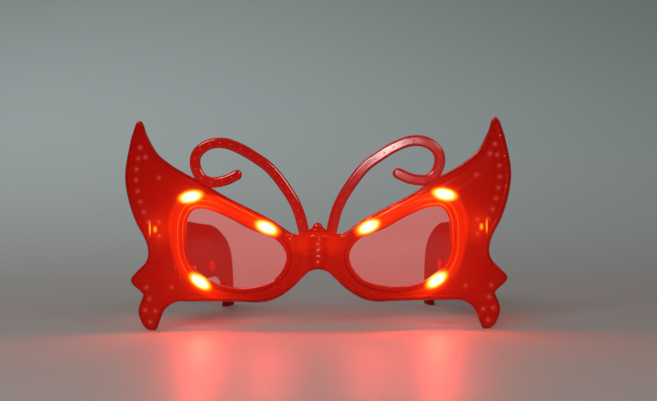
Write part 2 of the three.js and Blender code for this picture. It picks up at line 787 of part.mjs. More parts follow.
function contact(first, last, near) {
  const reach = cellRadius - contactMargin;
  const shape = roundedRectangle(
    cellAlong(first) - reach, cellMiddle - contactHeight / 2, cellAlong(last) + reach, cellMiddle + contactHeight / 2,
    contactCorner,
  );
  return slab(shape, near, near + contactThickness);
}

function circuitBoard() {
  const shape = roundedRectangle(boardEnd - boardLength, bayBottom + gap, boardEnd, bayTop - gap, contactCorner / 2);
  return slab(shape, boardNear, boardFar);
}

function switchBody() {
  const half = switchSide / 2;
  const body = block([switchNear, switchFar], [switchAlong - half, switchAlong + half], [bayMiddle - half, bayMiddle + half]);
  const well = rodAlongX(switchAlong, bayMiddle, plungerRadius + gap, switchNear - overrun, switchFar - buttonTravel / 2, smallSides);
  return geometryOf(cut(solidOf(body), [well]));
}

function flasherChip() {
  const profile = [[0, 0]];
  for (let i = 1; i <= capSteps; i += 1) {
    const angle = Math.PI / 2 * i / capSteps;
    profile.push([chipRadius * Math.sin(angle), chipHeight * (1 - Math.cos(angle))]);
  }
  profile.push([0, chipHeight]);
  return alongX(turned(profile, roundSides), boardNear - gap - chipHeight, chipAlong, bayMiddle);
}

function pushButton() {
  const tip = innerFace - buttonProud;
  const flangeStart = coverInside + gap - tip;
  const flangeEnd = flangeStart + buttonFlangeThickness;
  const stem = switchNear - gap - tip;
  const edge = buttonFlange / 2;
  return alongX(turned([
    [0, 0], [buttonRadius - edge, 0], [buttonRadius, edge], [buttonRadius, flangeStart],
    [buttonRadius + buttonFlange, flangeStart], [buttonRadius + buttonFlange, flangeEnd],
    [plungerRadius, flangeEnd], [plungerRadius, stem], [0, stem],
  ], roundSides), tip, switchAlong, bayMiddle);
}

// Assembly
const glasses = new THREE.Group();
glasses.add(new THREE.Mesh(frontFrame(), shellRed));
glasses.children[0].name = "front_frame";

const sides = [["left", -1], ["right", 1]];
const arms = sides.map(([, side]) => {
  const arm = new THREE.Group();
  arm.position.set(side * hingeX, hingeY, 0);
  arm.rotation.z = side * THREE.MathUtils.degToRad(armLean);
  glasses.add(arm);
  return arm;
});

function pair(name, geometry, material, carriers = [glasses, glasses], place = new THREE.Vector3(), turn = 0) {
  sides.forEach(([side, sign], i) => {
    const mesh = new THREE.Mesh(sign > 0 ? geometry : mirrored(geometry), material);
    mesh.name = name.replace("SIDE", side);
    mesh.position.set(sign * place.x, place.y, place.z);
    mesh.rotation.y = sign * turn;
    carriers[i].add(mesh);
  });
}

pair("lens_SIDE", lens(), clearLens);
pair("rear_cover_SIDE", rearCover(), coverRed);
pair("frame_wire_SIDE", frameWire(), blackLead);

const lamps = [
  ["inner", ledPlace(innerLedShare, channelOffset, -1)],
  ["top", ledPlace(topLedShare, topLedOffset, -1)],
  ["bottom", ledPlace(bottomLedShare, channelOffset, 1)],
];
lamps.forEach(([spot, { at, turn }]) => {
  pair(`led_SIDE_${spot}`, lamp().rotateX(Math.PI / 2), lampClear, undefined, at, turn);
});
pair("hinge_pin_SIDE", hingePin(), steel, undefined, new THREE.Vector3(hingeX, hingeY, hingeMiddle));

pair("temple_SIDE", temple(), shellRed, arms);
pair("temple_wire_SIDE", templeWire(), blackLead, arms);
pair("battery_cover_SIDE", batteryCover(), coverRed, arms);
pair("cover_screw_SIDE", coverScrew(), steel, arms);
for (let i = 0; i < cellsPerArm; i += 1) {
  const place = new THREE.Vector3(cellInner, cellAlong(i), cellMiddle);
  pair(`button_cell_SIDE_${i + 1}`, buttonCell(), steel, arms, place);
}
pair("contact_positive_SIDE", contact(0, 0, outerContact), steel, arms);
pair("contact_bridge_outer_SIDE", contact(1, cellsPerArm - 1, outerContact), steel, arms);
pair("contact_bridge_inner_SIDE", contact(0, 1, innerContact), steel, arms);
pair("contact_negative_SIDE", contact(cellsPerArm - 1, cellsPerArm - 1, innerContact), steel, arms);
pair("circuit_board_SIDE", circuitBoard(), boardGreen, arms);
pair("switch_SIDE", switchBody(), blackPlastic, arms);
pair("flasher_chip_SIDE", flasherChip(), blackPlastic, arms);
pair("push_button_SIDE", pushButton(), coverRed, arms);

// The origin is on the floor, in the middle of the space that the glasses stand in.
const reach = new THREE.Box3().setFromObject(glasses);
glasses.position.y = -(reach.min.y + reach.max.y) / 2;

export default glasses;
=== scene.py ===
import math

import bmesh
import bpy
import numpy as np
from mathutils import Matrix, Vector
from mathutils.geometry import delaunay_2d_cdt


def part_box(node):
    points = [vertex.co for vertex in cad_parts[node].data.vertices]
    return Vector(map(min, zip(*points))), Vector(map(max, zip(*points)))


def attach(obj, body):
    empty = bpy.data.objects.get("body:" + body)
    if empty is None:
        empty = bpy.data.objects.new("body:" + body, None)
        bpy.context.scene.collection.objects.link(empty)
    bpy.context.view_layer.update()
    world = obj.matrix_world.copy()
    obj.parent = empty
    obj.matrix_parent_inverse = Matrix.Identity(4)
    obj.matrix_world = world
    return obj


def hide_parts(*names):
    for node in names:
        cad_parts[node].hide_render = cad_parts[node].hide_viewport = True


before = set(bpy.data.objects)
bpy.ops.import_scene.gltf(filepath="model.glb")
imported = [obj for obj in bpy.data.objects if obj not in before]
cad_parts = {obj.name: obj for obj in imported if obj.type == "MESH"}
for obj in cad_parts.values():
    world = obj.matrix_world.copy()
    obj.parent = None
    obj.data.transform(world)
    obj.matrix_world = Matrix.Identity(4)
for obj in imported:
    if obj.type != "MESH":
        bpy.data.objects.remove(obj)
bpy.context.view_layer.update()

# The table top and the wall behind it.
# A sheet of pale grey plastic that is swept up into a wall, as in a studio. It is polished
# enough to carry a long soft reflection of each lit lamp.
MM = 0.001
SWEEP_WIDTH = 6.0
SWEEP_FRONT = -2.0
SWEEP_BACK = 0.22
SWEEP_RADIUS = 2.2
SWEEP_HEIGHT = 0.6
SWEEP_STEPS = 48
# The sheet's colour is painted darker and warmer towards the front, where the glasses stand. This is
# painted shade with a little of the lamps' red light. Further back and up the wall it is a lighter, cooler
# grey.
NEAR_SHADED_GREY = (0.22, 0.19, 0.178, 1)
FAR_GREY = (0.385, 0.44, 0.435, 1)
GREY_START, GREY_END = -0.1, 1.1

scene = bpy.context.scene
scene.view_settings.view_transform = "Standard"


def new_verts(made):
    """The vertices among the things that an operator made."""
    return [item for item in made if isinstance(item, bmesh.types.BMVert)]


def set_sockets(node, values):
    """Sets plain values on a node's own sockets."""
    for socket, value in values.items():
        node.inputs[socket].default_value = value


def new_finish(name, values):
    """A material whose Principled shader has the given values."""
    material = bpy.data.materials.new(name)
    material.use_nodes = True
    set_sockets(material.node_tree.nodes["Principled BSDF"], values)
    return material


def map_range(nodes, start, end, low=0.0, high=1.0, smooth=False):
    """A node that turns the range from start to end into the one from low to high."""
    node = nodes.new("ShaderNodeMapRange")
    if smooth:
        node.interpolation_type = "SMOOTHSTEP"
    set_sockets(node, {"From Min": start, "From Max": end, "To Min": low, "To Max": high})
    return node


def colour_mix(nodes, values):
    """A node that mixes two colours."""
    node = nodes.new("ShaderNodeMix")
    node.data_type = "RGBA"
    set_sockets(node, values)
    return node


sweep_mesh = bmesh.new()
foot = [sweep_mesh.verts.new((-SWEEP_WIDTH / 2, depth, 0)) for depth in (SWEEP_FRONT, SWEEP_BACK)]
sweep_mesh.edges.new(foot)
turned = bmesh.ops.spin(
    sweep_mesh, geom=[foot[1]], cent=(0, SWEEP_BACK, SWEEP_RADIUS), axis=(1, 0, 0),
    angle=math.pi / 2, steps=SWEEP_STEPS,
)
up = bmesh.ops.extrude_vert_indiv(sweep_mesh, verts=new_verts(turned["geom_last"]))
bmesh.ops.translate(sweep_mesh, verts=up["verts"], vec=(0, 0, SWEEP_HEIGHT))
wide = bmesh.ops.extrude_edge_only(sweep_mesh, edges=sweep_mesh.edges[:])
bmesh.ops.translate(sweep_mesh, verts=new_verts(wide["geom"]), vec=(SWEEP_WIDTH, 0, 0))
for face in sweep_mesh.faces:
    face.smooth = True
sweep_data = bpy.data.meshes.new("sweep")
sweep_mesh.to_mesh(sweep_data)
sweep_mesh.free()
sweep = bpy.data.objects.new("sweep", sweep_data)
scene.collection.objects.link(sweep)

grey = new_finish("grey_sweep", {"Roughness": 0.5, "Specular IOR Level": 0.12})
nodes, links = grey.node_tree.nodes, grey.node_tree.links
# Painted shade: darker and warmer near the front, lighter up the wall.
painted_floor_shade = colour_mix(nodes, {"A": NEAR_SHADED_GREY, "B": FAR_GREY})
place, spread = nodes.new("ShaderNodeTexCoord"), nodes.new("ShaderNodeSeparateXYZ")
rise = map_range(nodes, GREY_START, GREY_END, smooth=True)
links.new(place.outputs["Object"], spread.inputs["Vector"])
links.new(spread.outputs["Y"], rise.inputs["Value"])
links.new(rise.outputs["Result"], painted_floor_shade.inputs["Factor"])
links.new(painted_floor_shade.outputs["Result"], nodes["Principled BSDF"].inputs["Base Color"])
sweep_data.materials.append(grey)

# The camera stands where the photographer stood.
# It is a little to the right of the glasses and a hand's breadth above the table, level with the
# tops of the rims, and it is rolled by half a degree.
CAMERA_DISTANCE = 0.55
CAMERA_TURN = 2.0
CAMERA_ASIDE = 0.00466
CAMERA_HEIGHT = 0.058
CAMERA_TILT = -0.45
CAMERA_ROLL = -0.55
CAMERA_LENS = 72.5
PHOTO_WIDTH_MM = 36.0
LENS_FRONT = 1.5

front_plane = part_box("lens_right")[0].y - LENS_FRONT * MM
camera_data = bpy.data.cameras.new("camera")
camera_data.lens = CAMERA_LENS
camera_data.sensor_width = PHOTO_WIDTH_MM
camera = bpy.data.objects.new("camera", camera_data)
scene.collection.objects.link(camera)
sight = Matrix.Rotation(math.radians(CAMERA_TURN), 4, "Z")
tilt = Matrix.Rotation(math.radians(90 + CAMERA_TILT), 4, "X")
roll = Matrix.Rotation(math.radians(CAMERA_ROLL), 4, "Z")
step_back = sight @ Vector((CAMERA_ASIDE, -CAMERA_DISTANCE, 0))
camera.location = Vector((0, front_plane, CAMERA_HEIGHT)) + step_back
camera.rotation_mode = "QUATERNION"
camera.rotation_quaternion = (sight @ tilt @ roll).to_quaternion()
scene.camera = camera

# The studio's lamps.
# Soft boxes from both sides, a dim one above and one for the wall, a frontal one that shows in no
# reflection, and a small round one that shines back from the feeler.
# Each has a place, the place that it is turned to, a side and a power.
SOFT_BOXES = [
    ("key_box", (-0.4, -0.95, 0.6), (0, 0, 0.03), 0.3, 5.2),
    ("fill_box", (0.6, -0.85, 0.6), (0, 0, 0.04), 0.35, 3.6),
    ("front_box", (-0.03, -1.0, 0.61), (-0.03, 0, 0.03), 0.4, 6.2),
    ("top_box", (0.0, 0.2, 1.0), (0, 0.05, 0.0), 0.6, 0.7),
    ("wall_box", (-0.5, 0.66, 1.0), (-0.2, 0.68, 0.1), 0.8, 6.0),
    ("glint_box", (0.0404, -1.1, 0.1087), (0.0294, 0, 0.0749), 0.042, 0.17),
]
ROOM_COLOUR = (0.9, 0.97, 1.0, 1)
ROOM_FRONT, ROOM_BACK = 0.02, 0.13


def turn_towards(lamp, direction):
    """Turns a lamp so that it shines in a direction."""
    lamp.rotation_mode = "QUATERNION"
    lamp.rotation_quaternion = Vector(direction).to_track_quat("-Z", "Y")


for name, place, target, side, power in SOFT_BOXES:
    lamp_data = bpy.data.lights.new(name, "AREA")
    lamp_data.shape = "DISK" if name == "glint_box" else "SQUARE"
    lamp_data.size = side
    lamp_data.energy = power
    lamp_object = bpy.data.objects.new(name, lamp_data)
    lamp_object.visible_glossy = name != "front_box"
    scene.collection.objects.link(lamp_object)
    lamp_object.location = place
    turn_towards(lamp_object, Vector(target) - Vector(place))
world = bpy.data.worlds.new("grey_room")
scene.world = world
world.use_nodes = True
nodes, links = world.node_tree.nodes, world.node_tree.links
room_way, room_parts = nodes.new("ShaderNodeTexCoord"), nodes.new("ShaderNodeSeparateXYZ")
room_light = map_range(nodes, -0.6, 0.6, ROOM_FRONT, ROOM_BACK)
links.new(room_way.outputs["Generated"], room_parts.inputs["Vector"])
links.new(room_parts.outputs["Y"], room_light.inputs["Value"])
links.new(room_light.outputs["Result"], nodes["Background"].inputs["Strength"])
set_sockets(nodes["Background"], {"Color": ROOM_COLOUR})

# The front.
# One moulding in clear red plastic: two wings, two lens rims with a raised bead, the bridge with
# a ribbed body and a head, two curled feelers, and at the back the lamp channels, the nose rests
# and the hinge ears.
FRONT_HEIGHT = 87.8
FOOT_CUT = 0.4
LENS_INSET = 13.1
LENS_WIDTH = 41.9
LENS_HEIGHT = 33.3
LENS_BOTTOM = 17.6
LENS_OUTER = LENS_INSET + LENS_WIDTH
WING_REACH = 25.4
WING_THICKNESS = 2.55
NOSE_TOP = 25.1
NOSE_HALF = 11.4
BRIDGE_TOP = 40.6
RIM_WIDTH = 5.8
RIM_PROUD = 0.5
RIM_BACK = 2.8
BEAD_WIDTH = 2.3
BEAD_PROUD = 0.85
EDGE_ROUND = 0.8
BACK_ROUND = 0.5
BORDER_PROUD = 0.06
FIELD_PROUD = 0.3
LENS_SEAT = 1.2
LENS_LAP = 0.9
OUTLINE_STEP = 0.8
wing_outer_shares = [
    (0.752, 1), (0.807, 0.987), (0.862, 0.944), (0.913, 0.895), (1, 0.758), (0.972, 0.651),
    (0.854, 0.535), (0.681, 0.435), (0.636, 0.373), (0.681, 0.327), (0.842, 0.279),
    (0.925, 0.249), (0.894, 0.223), (0.764, 0.189), (0.721, 0.174),
]
wing_tail_shares = [
    (0.721, 0.171), (0.803, 0.109), (0.787, 0.067), (0.713, 0.023), (0.594, 0.003), (0.52, 0.005),
    (0.437, 0.061), (0.362, 0.105), (0.185, 0.137), (-0.098, 0.14), (-0.488, 0.139),
    (-0.878, 0.137),
]
wing_inner_shares = [
    (-0.433, 0.676), (-0.283, 0.7), (-0.102, 0.731), (0.185, 0.778), (0.461, 0.843), (0.63, 0.93),
    (0.685, 0.978), (0.713, 0.994),
]
nose_shares = [
    (2.21, -0.885), (1.79, -0.845), (1.39, -0.72), (0.99, -0.516), (0.65, -0.265), (0.36, -0.077),
    (0, 0),
]
bridge_top_shares = [(0, 1), (0.4, 1), (0.83, 0.95)]
rim_top = [(12.6, 41.3), (18.8, 45.6), (25.3, 49.1), (31.8, 52.4), (38.2, 55.7)]
lens_shares = [
    (0.107, 0.604), (0.356, 0.764), (0.601, 0.919), (0.8, 0.99), (0.915, 0.985), (0.978, 0.886),
    (1, 0.673), (0.979, 0.396), (0.905, 0.23), (0.726, 0.072), (0.453, 0), (0.174, 0.066),
    (0.07, 0.17), (0.01, 0.3), (0, 0.4), (0.031, 0.502),
]
opening_shares = lens_shares[:1] + [(0.356, 0.732), (0.601, 0.897)] + lens_shares[3:]


def placed(shares, origin, size):
    """Shares of a size, set down from an origin, in millimetres."""
    return [(origin[0] + across * size[0], origin[1] + rise * size[1]) for across, rise in shares]


def smooth_run(points, spacing, closed=False, taut=False):
    """Evenly spaced points on a smooth curve through the given ones.

    A closed or a taut curve allows for uneven gaps between them.
    """
    points = np.array(points, float)
    count = len(points)
    fine = []
    for i in range(count if closed else count - 1):
        picks = [(i + k) % count if closed else min(max(i + k, 0), count - 1) for k in (-1, 0, 1, 2)]
        before, start, end, after = points[picks]
        gaps = [1.0, 1.0, 1.0]
        if closed or taut:
            pairs = ((before, start), (start, end), (end, after))
            gaps = [max(np.linalg.norm(b - a), 0.01) ** 0.5 for a, b in pairs]
        first, middle, last = gaps
        leave = (start - before) / first - (end - before) / (first + middle) + (end - start) / middle
        arrive = (end - start) / middle - (after - start) / (middle + last) + (after - end) / last
        leave, arrive = leave * middle, arrive * middle
        t = np.linspace(0, 1, 16, endpoint=False)[:, None]
        bend = 3 * (end - start) - 2 * leave - arrive
        twist = 2 * (start - end) + leave + arrive
        fine.append(start + leave * t + bend * t**2 + twist * t**3)
    fine.append(points[:1] if closed else points[-1:])
    fine = np.vstack(fine)
    along = np.concatenate([[0], np.cumsum(np.linalg.norm(np.diff(fine, axis=0), axis=1))])
    steps = max(2, round(along[-1] / spacing))
    marks_and_glints = np.linspace(0, along[-1], steps + 1)
    even = np.column_stack([np.interp(marks_and_glints, along, column) for column in fine.T])
    return even[:-1] if closed else even


def offset_loop(loop, distance):
    """A closed loop moved outwards by a distance."""
    ahead = np.roll(loop, -1, axis=0) - np.roll(loop, 1, axis=0)
    ahead /= np.linalg.norm(ahead, axis=1)[:, None]
    after = np.roll(loop, -1, axis=0)
    area = np.sum(loop[:, 0] * after[:, 1] - after[:, 0] * loop[:, 1])
    return loop + np.column_stack([ahead[:, 1], -ahead[:, 0]]) * distance * np.sign(area)


def to_side(points, side):
    """An outline of the right half, or the same one mirrored to the left."""
    return points * np.array([side, 1])


def on_right(points):
    """Places with their mirror images on the right half, since both halves are alike."""
    return np.column_stack([np.abs(points[:, 0]), points[:, 1]])


def distance_to(points, line, closed=False):
    """How far each point is from a line of many points."""
    starts = line if closed else line[:-1]
    ends = np.roll(line, -1, axis=0) if closed else line[1:]
    nearest = np.full(len(points), 1e9)
    for start, end in zip(starts, ends):
        span = end - start
        share = np.clip((points - start) @ span / max(span @ span, 1e-12), 0, 1)
        away = np.linalg.norm(points - start - share[:, None] * span, axis=1)
        nearest = np.minimum(nearest, away)
    return nearest


def is_inside(points, loop):
    """Which points a closed loop holds."""
    held = np.zeros(len(points), bool)
    for start, end in zip(loop, np.roll(loop, -1, axis=0)):
        crosses = (start[1] > points[:, 1]) != (end[1] > points[:, 1])
        rise = end[1] - start[1] if end[1] != start[1] else 1e-12
        meets = (end[0] - start[0]) * (points[:, 1] - start[1]) / rise + start[0]
        held ^= crosses & (points[:, 0] < meets)
    return held


def ease(value, low, high):
    """A soft step from 0 at low to 1 at high."""
    share = np.clip((value - low) / (high - low), 0, 1)
    return share * share * (3 - 2 * share)


wing_origin, wing_size = (LENS_OUTER, -FOOT_CUT), (WING_REACH, FRONT_HEIGHT + FOOT_CUT)
nose_origin, nose_size = (0, NOSE_TOP), (NOSE_HALF, BRIDGE_TOP - NOSE_TOP)
lens_origin, lens_size = (LENS_INSET, LENS_BOTTOM), (LENS_WIDTH, LENS_HEIGHT)
nose_line = placed(nose_shares, nose_origin, nose_size)
bridge_line = placed(bridge_top_shares, nose_origin, nose_size) + rim_top
outer_run = smooth_run(placed(wing_outer_shares, wing_origin, wing_size), OUTLINE_STEP)
lower_run = smooth_run(placed(wing_tail_shares, wing_origin, wing_size) + nose_line, OUTLINE_STEP)
upper_run = smooth_run(bridge_line + placed(wing_inner_shares, wing_origin, wing_size), OUTLINE_STEP)
half_outline = np.vstack([upper_run, outer_run, lower_run[1:]])
half_outline[:, 1] = np.maximum(half_outline[:, 1], 0)
outline = np.vstack([half_outline, to_side(half_outline[1:-1], -1)[::-1]])
lens_loop = smooth_run(placed(opening_shares, lens_origin, lens_size), OUTLINE_STEP, closed=True)
seat_loop = offset_loop(lens_loop, LENS_LAP)


def rounding(from_edge, radius):
    """How far a rounded edge falls back, by the distance from the edge."""
    return radius - np.sqrt(np.maximum(radius**2 - np.maximum(radius - from_edge, 0) ** 2, 0))


def front_relief(points):
    """Depth of the front's face: rounded edges, a border on the wings, the rim's step and bead."""
    right = on_right(points)
    from_edge = distance_to(right, half_outline)
    from_lens = distance_to(right, lens_loop, closed=True)
    wing = ease(right[:, 0], 46, 52) * ease(from_lens, 6.2, 7.4)
    border = BORDER_PROUD * wing * ease(from_edge, 1.5, 2.1)
    field = FIELD_PROUD * wing * ease(from_edge, 3, 9)
    rim = RIM_PROUD * (1 - ease(from_lens, 4.8, RIM_WIDTH + 0.5))
    bead = ease(from_lens, 0, 0.45) * (1 - ease(from_lens, BEAD_WIDTH - 0.5, BEAD_WIDTH))
    return border - field - rim - BEAD_PROUD * bead + rounding(from_edge, EDGE_ROUND)


def back_relief(points):
    """Depth of the front's back: flat, with the rim's step."""
    right = on_right(points)
    from_lens = distance_to(right, lens_loop, closed=True)
    step = (RIM_BACK - WING_THICKNESS) * (1 - ease(from_lens, 5.2, RIM_WIDTH))
    return WING_THICKNESS + step - rounding(distance_to(right, half_outline), BACK_ROUND)


GRID_HALF, GRID_TOP, GRID_ROW = 82, 90, 0.866
FACE_GRID, BACK_GRID = 0.75, 1.3
GRID_PLAY, RING_PLAY, EDGE_PLAY = 0.6, 0.3, 0.12
FACE_EDGE_RINGS = (0.1, 0.3, 0.6, 1.6, 2.4)
FACE_LENS_RINGS = (0.2, 0.45, 1.8, 2.3, 5.2, 5.8)
BACK_EDGE_RINGS = (0.15, 0.5)


def on_sheet(points, holes):
    """Which points lie inside the outline and outside the holes."""
    held = is_inside(points, outline)
    for hole in holes:
        held &= ~is_inside(points, hole)
    return held


def sheet_over(mesh, holes, spacing, relief, edge_rings, lens_rings):
    """A pressed face inside the outline and round the holes. Returns its vertices by loop."""
    loops = [outline] + holes
    across = np.arange(-GRID_HALF, GRID_HALF, spacing)
    rows = np.arange(0, GRID_TOP, spacing * GRID_ROW)
    grid = np.vstack([
        np.column_stack([across + (k % 2) * spacing / 2, np.full(len(across), row)])
        for k, row in enumerate(rows)
    ])
    grid = grid[on_sheet(grid, holes)]
    right = on_right(grid)
    far = distance_to(right, half_outline) > spacing * GRID_PLAY
    for loop in (seat_loop, lens_loop):
        far &= distance_to(right, loop, closed=True) > spacing * GRID_PLAY
    extra = [offset_loop(outline, -inset) for inset in edge_rings]
    extra += [offset_loop(hole, inset) for hole in holes for inset in lens_rings]
    for ring in extra:
        near = np.full(len(grid), True)
        near[far] = distance_to(grid[far], ring, closed=True) > RING_PLAY
        far &= near
    extra = [
        ring[is_inside(ring, outline) & (distance_to(ring, outline, closed=True) > EDGE_PLAY)]
        for ring in extra
    ]
    places = np.vstack(loops + extra + [grid[far]])
    edges, base = [], 0
    for loop in loops:
        edges += [(base + i, base + (i + 1) % len(loop)) for i in range(len(loop))]
        base += len(loop)
    found, _, faces, origins, _, _ = delaunay_2d_cdt([Vector(p) for p in places], edges, [], 0, 1e-6)
    found = np.array([tuple(p) for p in found])
    centres = np.array([found[list(face)].mean(axis=0) for face in faces])
    verts = [mesh.verts.new((p[0], depth, p[1])) for p, depth in zip(found, relief(found))]
    for face, wanted in zip(faces, on_sheet(centres, holes)):
        if wanted:
            mesh.faces.new([verts[i] for i in face])
    first = {source: verts[i] for i, sources in enumerate(origins) for source in sources}
    chains, base = [], 0
    for loop in loops:
        chains.append([first[base + i] for i in range(len(loop))])
        base += len(loop)
    return chains


def wall_between(mesh, one, other):
    """A wall of faces between two loops with the same number of vertices."""
    for i in range(len(one)):
        k = (i + 1) % len(one)
        mesh.faces.new((one[i], one[k], other[k], other[i]))


def loop_at(mesh, loop, depth):
    return [mesh.verts.new((p[0], depth, p[1])) for p in loop]


front = bmesh.new()
lens_holes = [lens_loop, to_side(lens_loop, -1)]
seat_holes = [seat_loop, to_side(seat_loop, -1)]
face_loops = sheet_over(front, lens_holes, FACE_GRID, front_relief, FACE_EDGE_RINGS, FACE_LENS_RINGS)
back_loops = sheet_over(front, seat_holes, BACK_GRID, back_relief, BACK_EDGE_RINGS, ())
wall_between(front, face_loops[0], back_loops[0])
for hole, seat, face_loop, back_loop in zip(lens_holes, seat_holes, face_loops[1:], back_loops[1:]):
    chains = [face_loop, loop_at(front, hole, LENS_SEAT), loop_at(front, seat, LENS_SEAT), back_loop]
    for one, other in zip(chains, chains[1:]):
        wall_between(front, one, other)
bmesh.ops.delete(front, geom=[v for v in front.verts if not v.link_faces], context="VERTS")

# The ribbed body, the head over it and the two feelers.
# They belong to the same moulding. The body and the head are round forms pressed flat, and each
# feeler is a flat strip with rounded edges that curls over and touches the wing.
BODY_LENGTH = 15.6
BODY_RADIUS = 4.4
BODY_FLAT = 0.2
BODY_STEPS = 60
RIBS = 5
RIB_DEPTH = 0.16
HEAD_FLAT = 0.5
head_profile = [
    (0, 4.0), (0.7, 3.93), (1.2, 3.68), (1.65, 3.2), (1.95, 2.6), (2.25, 2.05), (2.75, 1.65),
    (3.3, 1.3), (3.6, 0.7), (3.6, -0.6), (2.4, -1.4), (0, -1.5),
]
BODY_PIPS = 4
BODY_PIP_DROP, BODY_PIP_PITCH, BODY_PIP_RADIUS = 5.0, 2.45, 0.4
FEELER_REACH = 51.0
FEELER_FACE = 0.15
FEELER_BACK = 2.35
FEELER_WIDTH = 4.55
FEELER_ROUND = 1.05
feeler_shares = [
    (0.107, 0.446), (0.152, 0.555), (0.217, 0.635), (0.387, 0.767), (0.51, 0.82), (0.63, 0.862),
    (0.75, 0.888), (0.85, 0.889), (0.927, 0.872), (0.985, 0.838), (1, 0.808), (0.99, 0.764),
    (0.945, 0.721), (0.88, 0.704), (0.81, 0.705), (0.74, 0.715), (0.66, 0.737),
]
PIP_PITCH = 4.6
PIP_RADIUS = 0.48


def turn_profile(mesh, profile, steps, merge=0.005):
    """Radii and heights spun round the Z axis, with the seam and the poles closed."""
    old = set(mesh.verts)
    chain = [mesh.verts.new((radius, 0, height)) for radius, height in profile]
    chain_edges = [mesh.edges.new(pair) for pair in zip(chain, chain[1:])]
    bmesh.ops.spin(
        mesh, geom=chain + chain_edges, cent=(0, 0, 0), axis=(0, 0, 1), angle=math.tau,
        steps=steps, use_merge=True,
    )
    bmesh.ops.remove_doubles(mesh, verts=[v for v in mesh.verts if v not in old], dist=merge)
    return [v for v in mesh.verts if v not in old]


def arc(centre, radius, start, turn, steps):
    """Points on an arc from a start angle on."""
    angles = [start + turn * k / steps for k in range(steps + 1)]
    return [(centre[0] + radius * math.cos(a), centre[1] + radius * math.sin(a)) for a in angles]


def ribbon(path, width, round_steps=6):
    """The outline of a strip of even width with round ends."""
    path = np.array(path, float)
    ahead = np.gradient(path, axis=0)
    ahead /= np.linalg.norm(ahead, axis=1)[:, None]
    aside = np.column_stack([-ahead[:, 1], ahead[:, 0]]) * width / 2

    def round_end(centre, towards):
        start = math.atan2(towards[1], towards[0]) + math.pi / 2
        return arc(centre, width / 2, start, -math.pi, round_steps)[1:-1]

    far_end, near_end = round_end(path[-1], ahead[-1]), round_end(path[0], -ahead[0])
    return np.vstack([path + aside, far_end, (path - aside)[::-1], near_end])


def along_x(u, v, w):
    return (w, u, v)


def along_y(u, v, w):
    return (u, w, v)


def along_z(u, v, w):
    return (u, v, w)


def put_outline(mesh, points, low, high, edge, place, holes=(), pockets=()):
    """A flat piece: an outline with a thickness and rounded rims.

    Holes go through it, and pockets have a floor.
    """

    def ring_of(loop, inset, depth):
        loop = np.array(loop, float)
        return [mesh.verts.new(place(u, v, depth)) for u, v in offset_loop(loop, -inset)]

    def cap(loops):
        pairs = [(loop[i - 1], loop[i]) for loop in loops for i in range(len(loop))]
        rims = [mesh.edges.get(pair) or mesh.edges.new(pair) for pair in pairs]
        bmesh.ops.triangle_fill(mesh, edges=rims, use_beauty=True, use_dissolve=False)
        for rim in rims:
            rim.smooth = False

    turns = [math.pi / 2 * k / 3 for k in range(4)] if edge else [math.pi / 2]
    steps = [(edge * (1 - math.cos(turn)), edge * (1 - math.sin(turn))) for turn in turns]
    rings = [ring_of(points, inset, low + depth) for inset, depth in steps[::-1]]
    rings += [ring_of(points, inset, high - depth) for inset, depth in steps]
    for one, other in zip(rings, rings[1:]):
        wall_between(mesh, one, other)
    low_loops, high_loops = [rings[0]], [rings[-1]]
    for hole in holes:
        ends = [ring_of(hole, 0, low), ring_of(hole, 0, high)]
        wall_between(mesh, *ends)
        low_loops.append(ends[0])
        high_loops.append(ends[1])
    for pocket, floor in pockets:
        mouth, bottom = ring_of(pocket, 0, low), ring_of(pocket, 0, floor)
        wall_between(mesh, mouth, bottom)
        low_loops.append(mouth)
        cap([bottom])
    cap(low_loops)
    cap(high_loops)


def ball(mesh, centre, radius, steps):
    bmesh.ops.create_uvsphere(
        mesh, u_segments=steps * 2, v_segments=steps, radius=radius,
        matrix=Matrix.Translation(centre),
    )


body_profile = []
for k in range(BODY_STEPS + 1):
    share = k / BODY_STEPS
    swell = math.sqrt(max(1 - (2 * share - 1) ** 4, 0))
    radius = swell * (BODY_RADIUS - RIB_DEPTH * math.cos(2 * math.pi * share * RIBS))
    body_profile.append((radius, BRIDGE_TOP - BODY_LENGTH + share * BODY_LENGTH))
body = bmesh.new()
turn_profile(body, body_profile, 32, 0.01)
bmesh.ops.scale(body, vec=(1, BODY_FLAT, 1), verts=body.verts[:])
bmesh.ops.bisect_plane(
    body, geom=body.verts[:] + body.edges[:] + body.faces[:],
    plane_co=(0, WING_THICKNESS - 0.2, 0), plane_no=(0, 1, 0), clear_outer=True,
)
head = turn_profile(body, [(radius, BRIDGE_TOP + height) for radius, height in head_profile], 28, 0.01)
bmesh.ops.scale(body, vec=(1, HEAD_FLAT, 1), verts=head)
bmesh.ops.translate(body, vec=(0, WING_THICKNESS / 2 - 0.5, 0), verts=head)
body_pips = [(0, BRIDGE_TOP - BODY_PIP_DROP - BODY_PIP_PITCH * k) for k in range(BODY_PIPS)]
for x, z in body_pips:
    ball(body, (x, -BODY_RADIUS * BODY_FLAT + 0.05, z), BODY_PIP_RADIUS, 4)
feeler_path = smooth_run(placed(feeler_shares, (0, 0), (FEELER_REACH, FRONT_HEIGHT)), 0.7, taut=True)
feeler_pips = smooth_run(feeler_path[9:-3], PIP_PITCH)
feeler_outline = ribbon(feeler_path, FEELER_WIDTH, 14)
for side in (1, -1):
    feeler = to_side(feeler_outline, side)
    put_outline(body, feeler, FEELER_FACE, FEELER_BACK, FEELER_ROUND, along_y)
    for x, z in feeler_pips:
        ball(body, (side * x, FEELER_FACE + 0.1, z), PIP_RADIUS, 3)

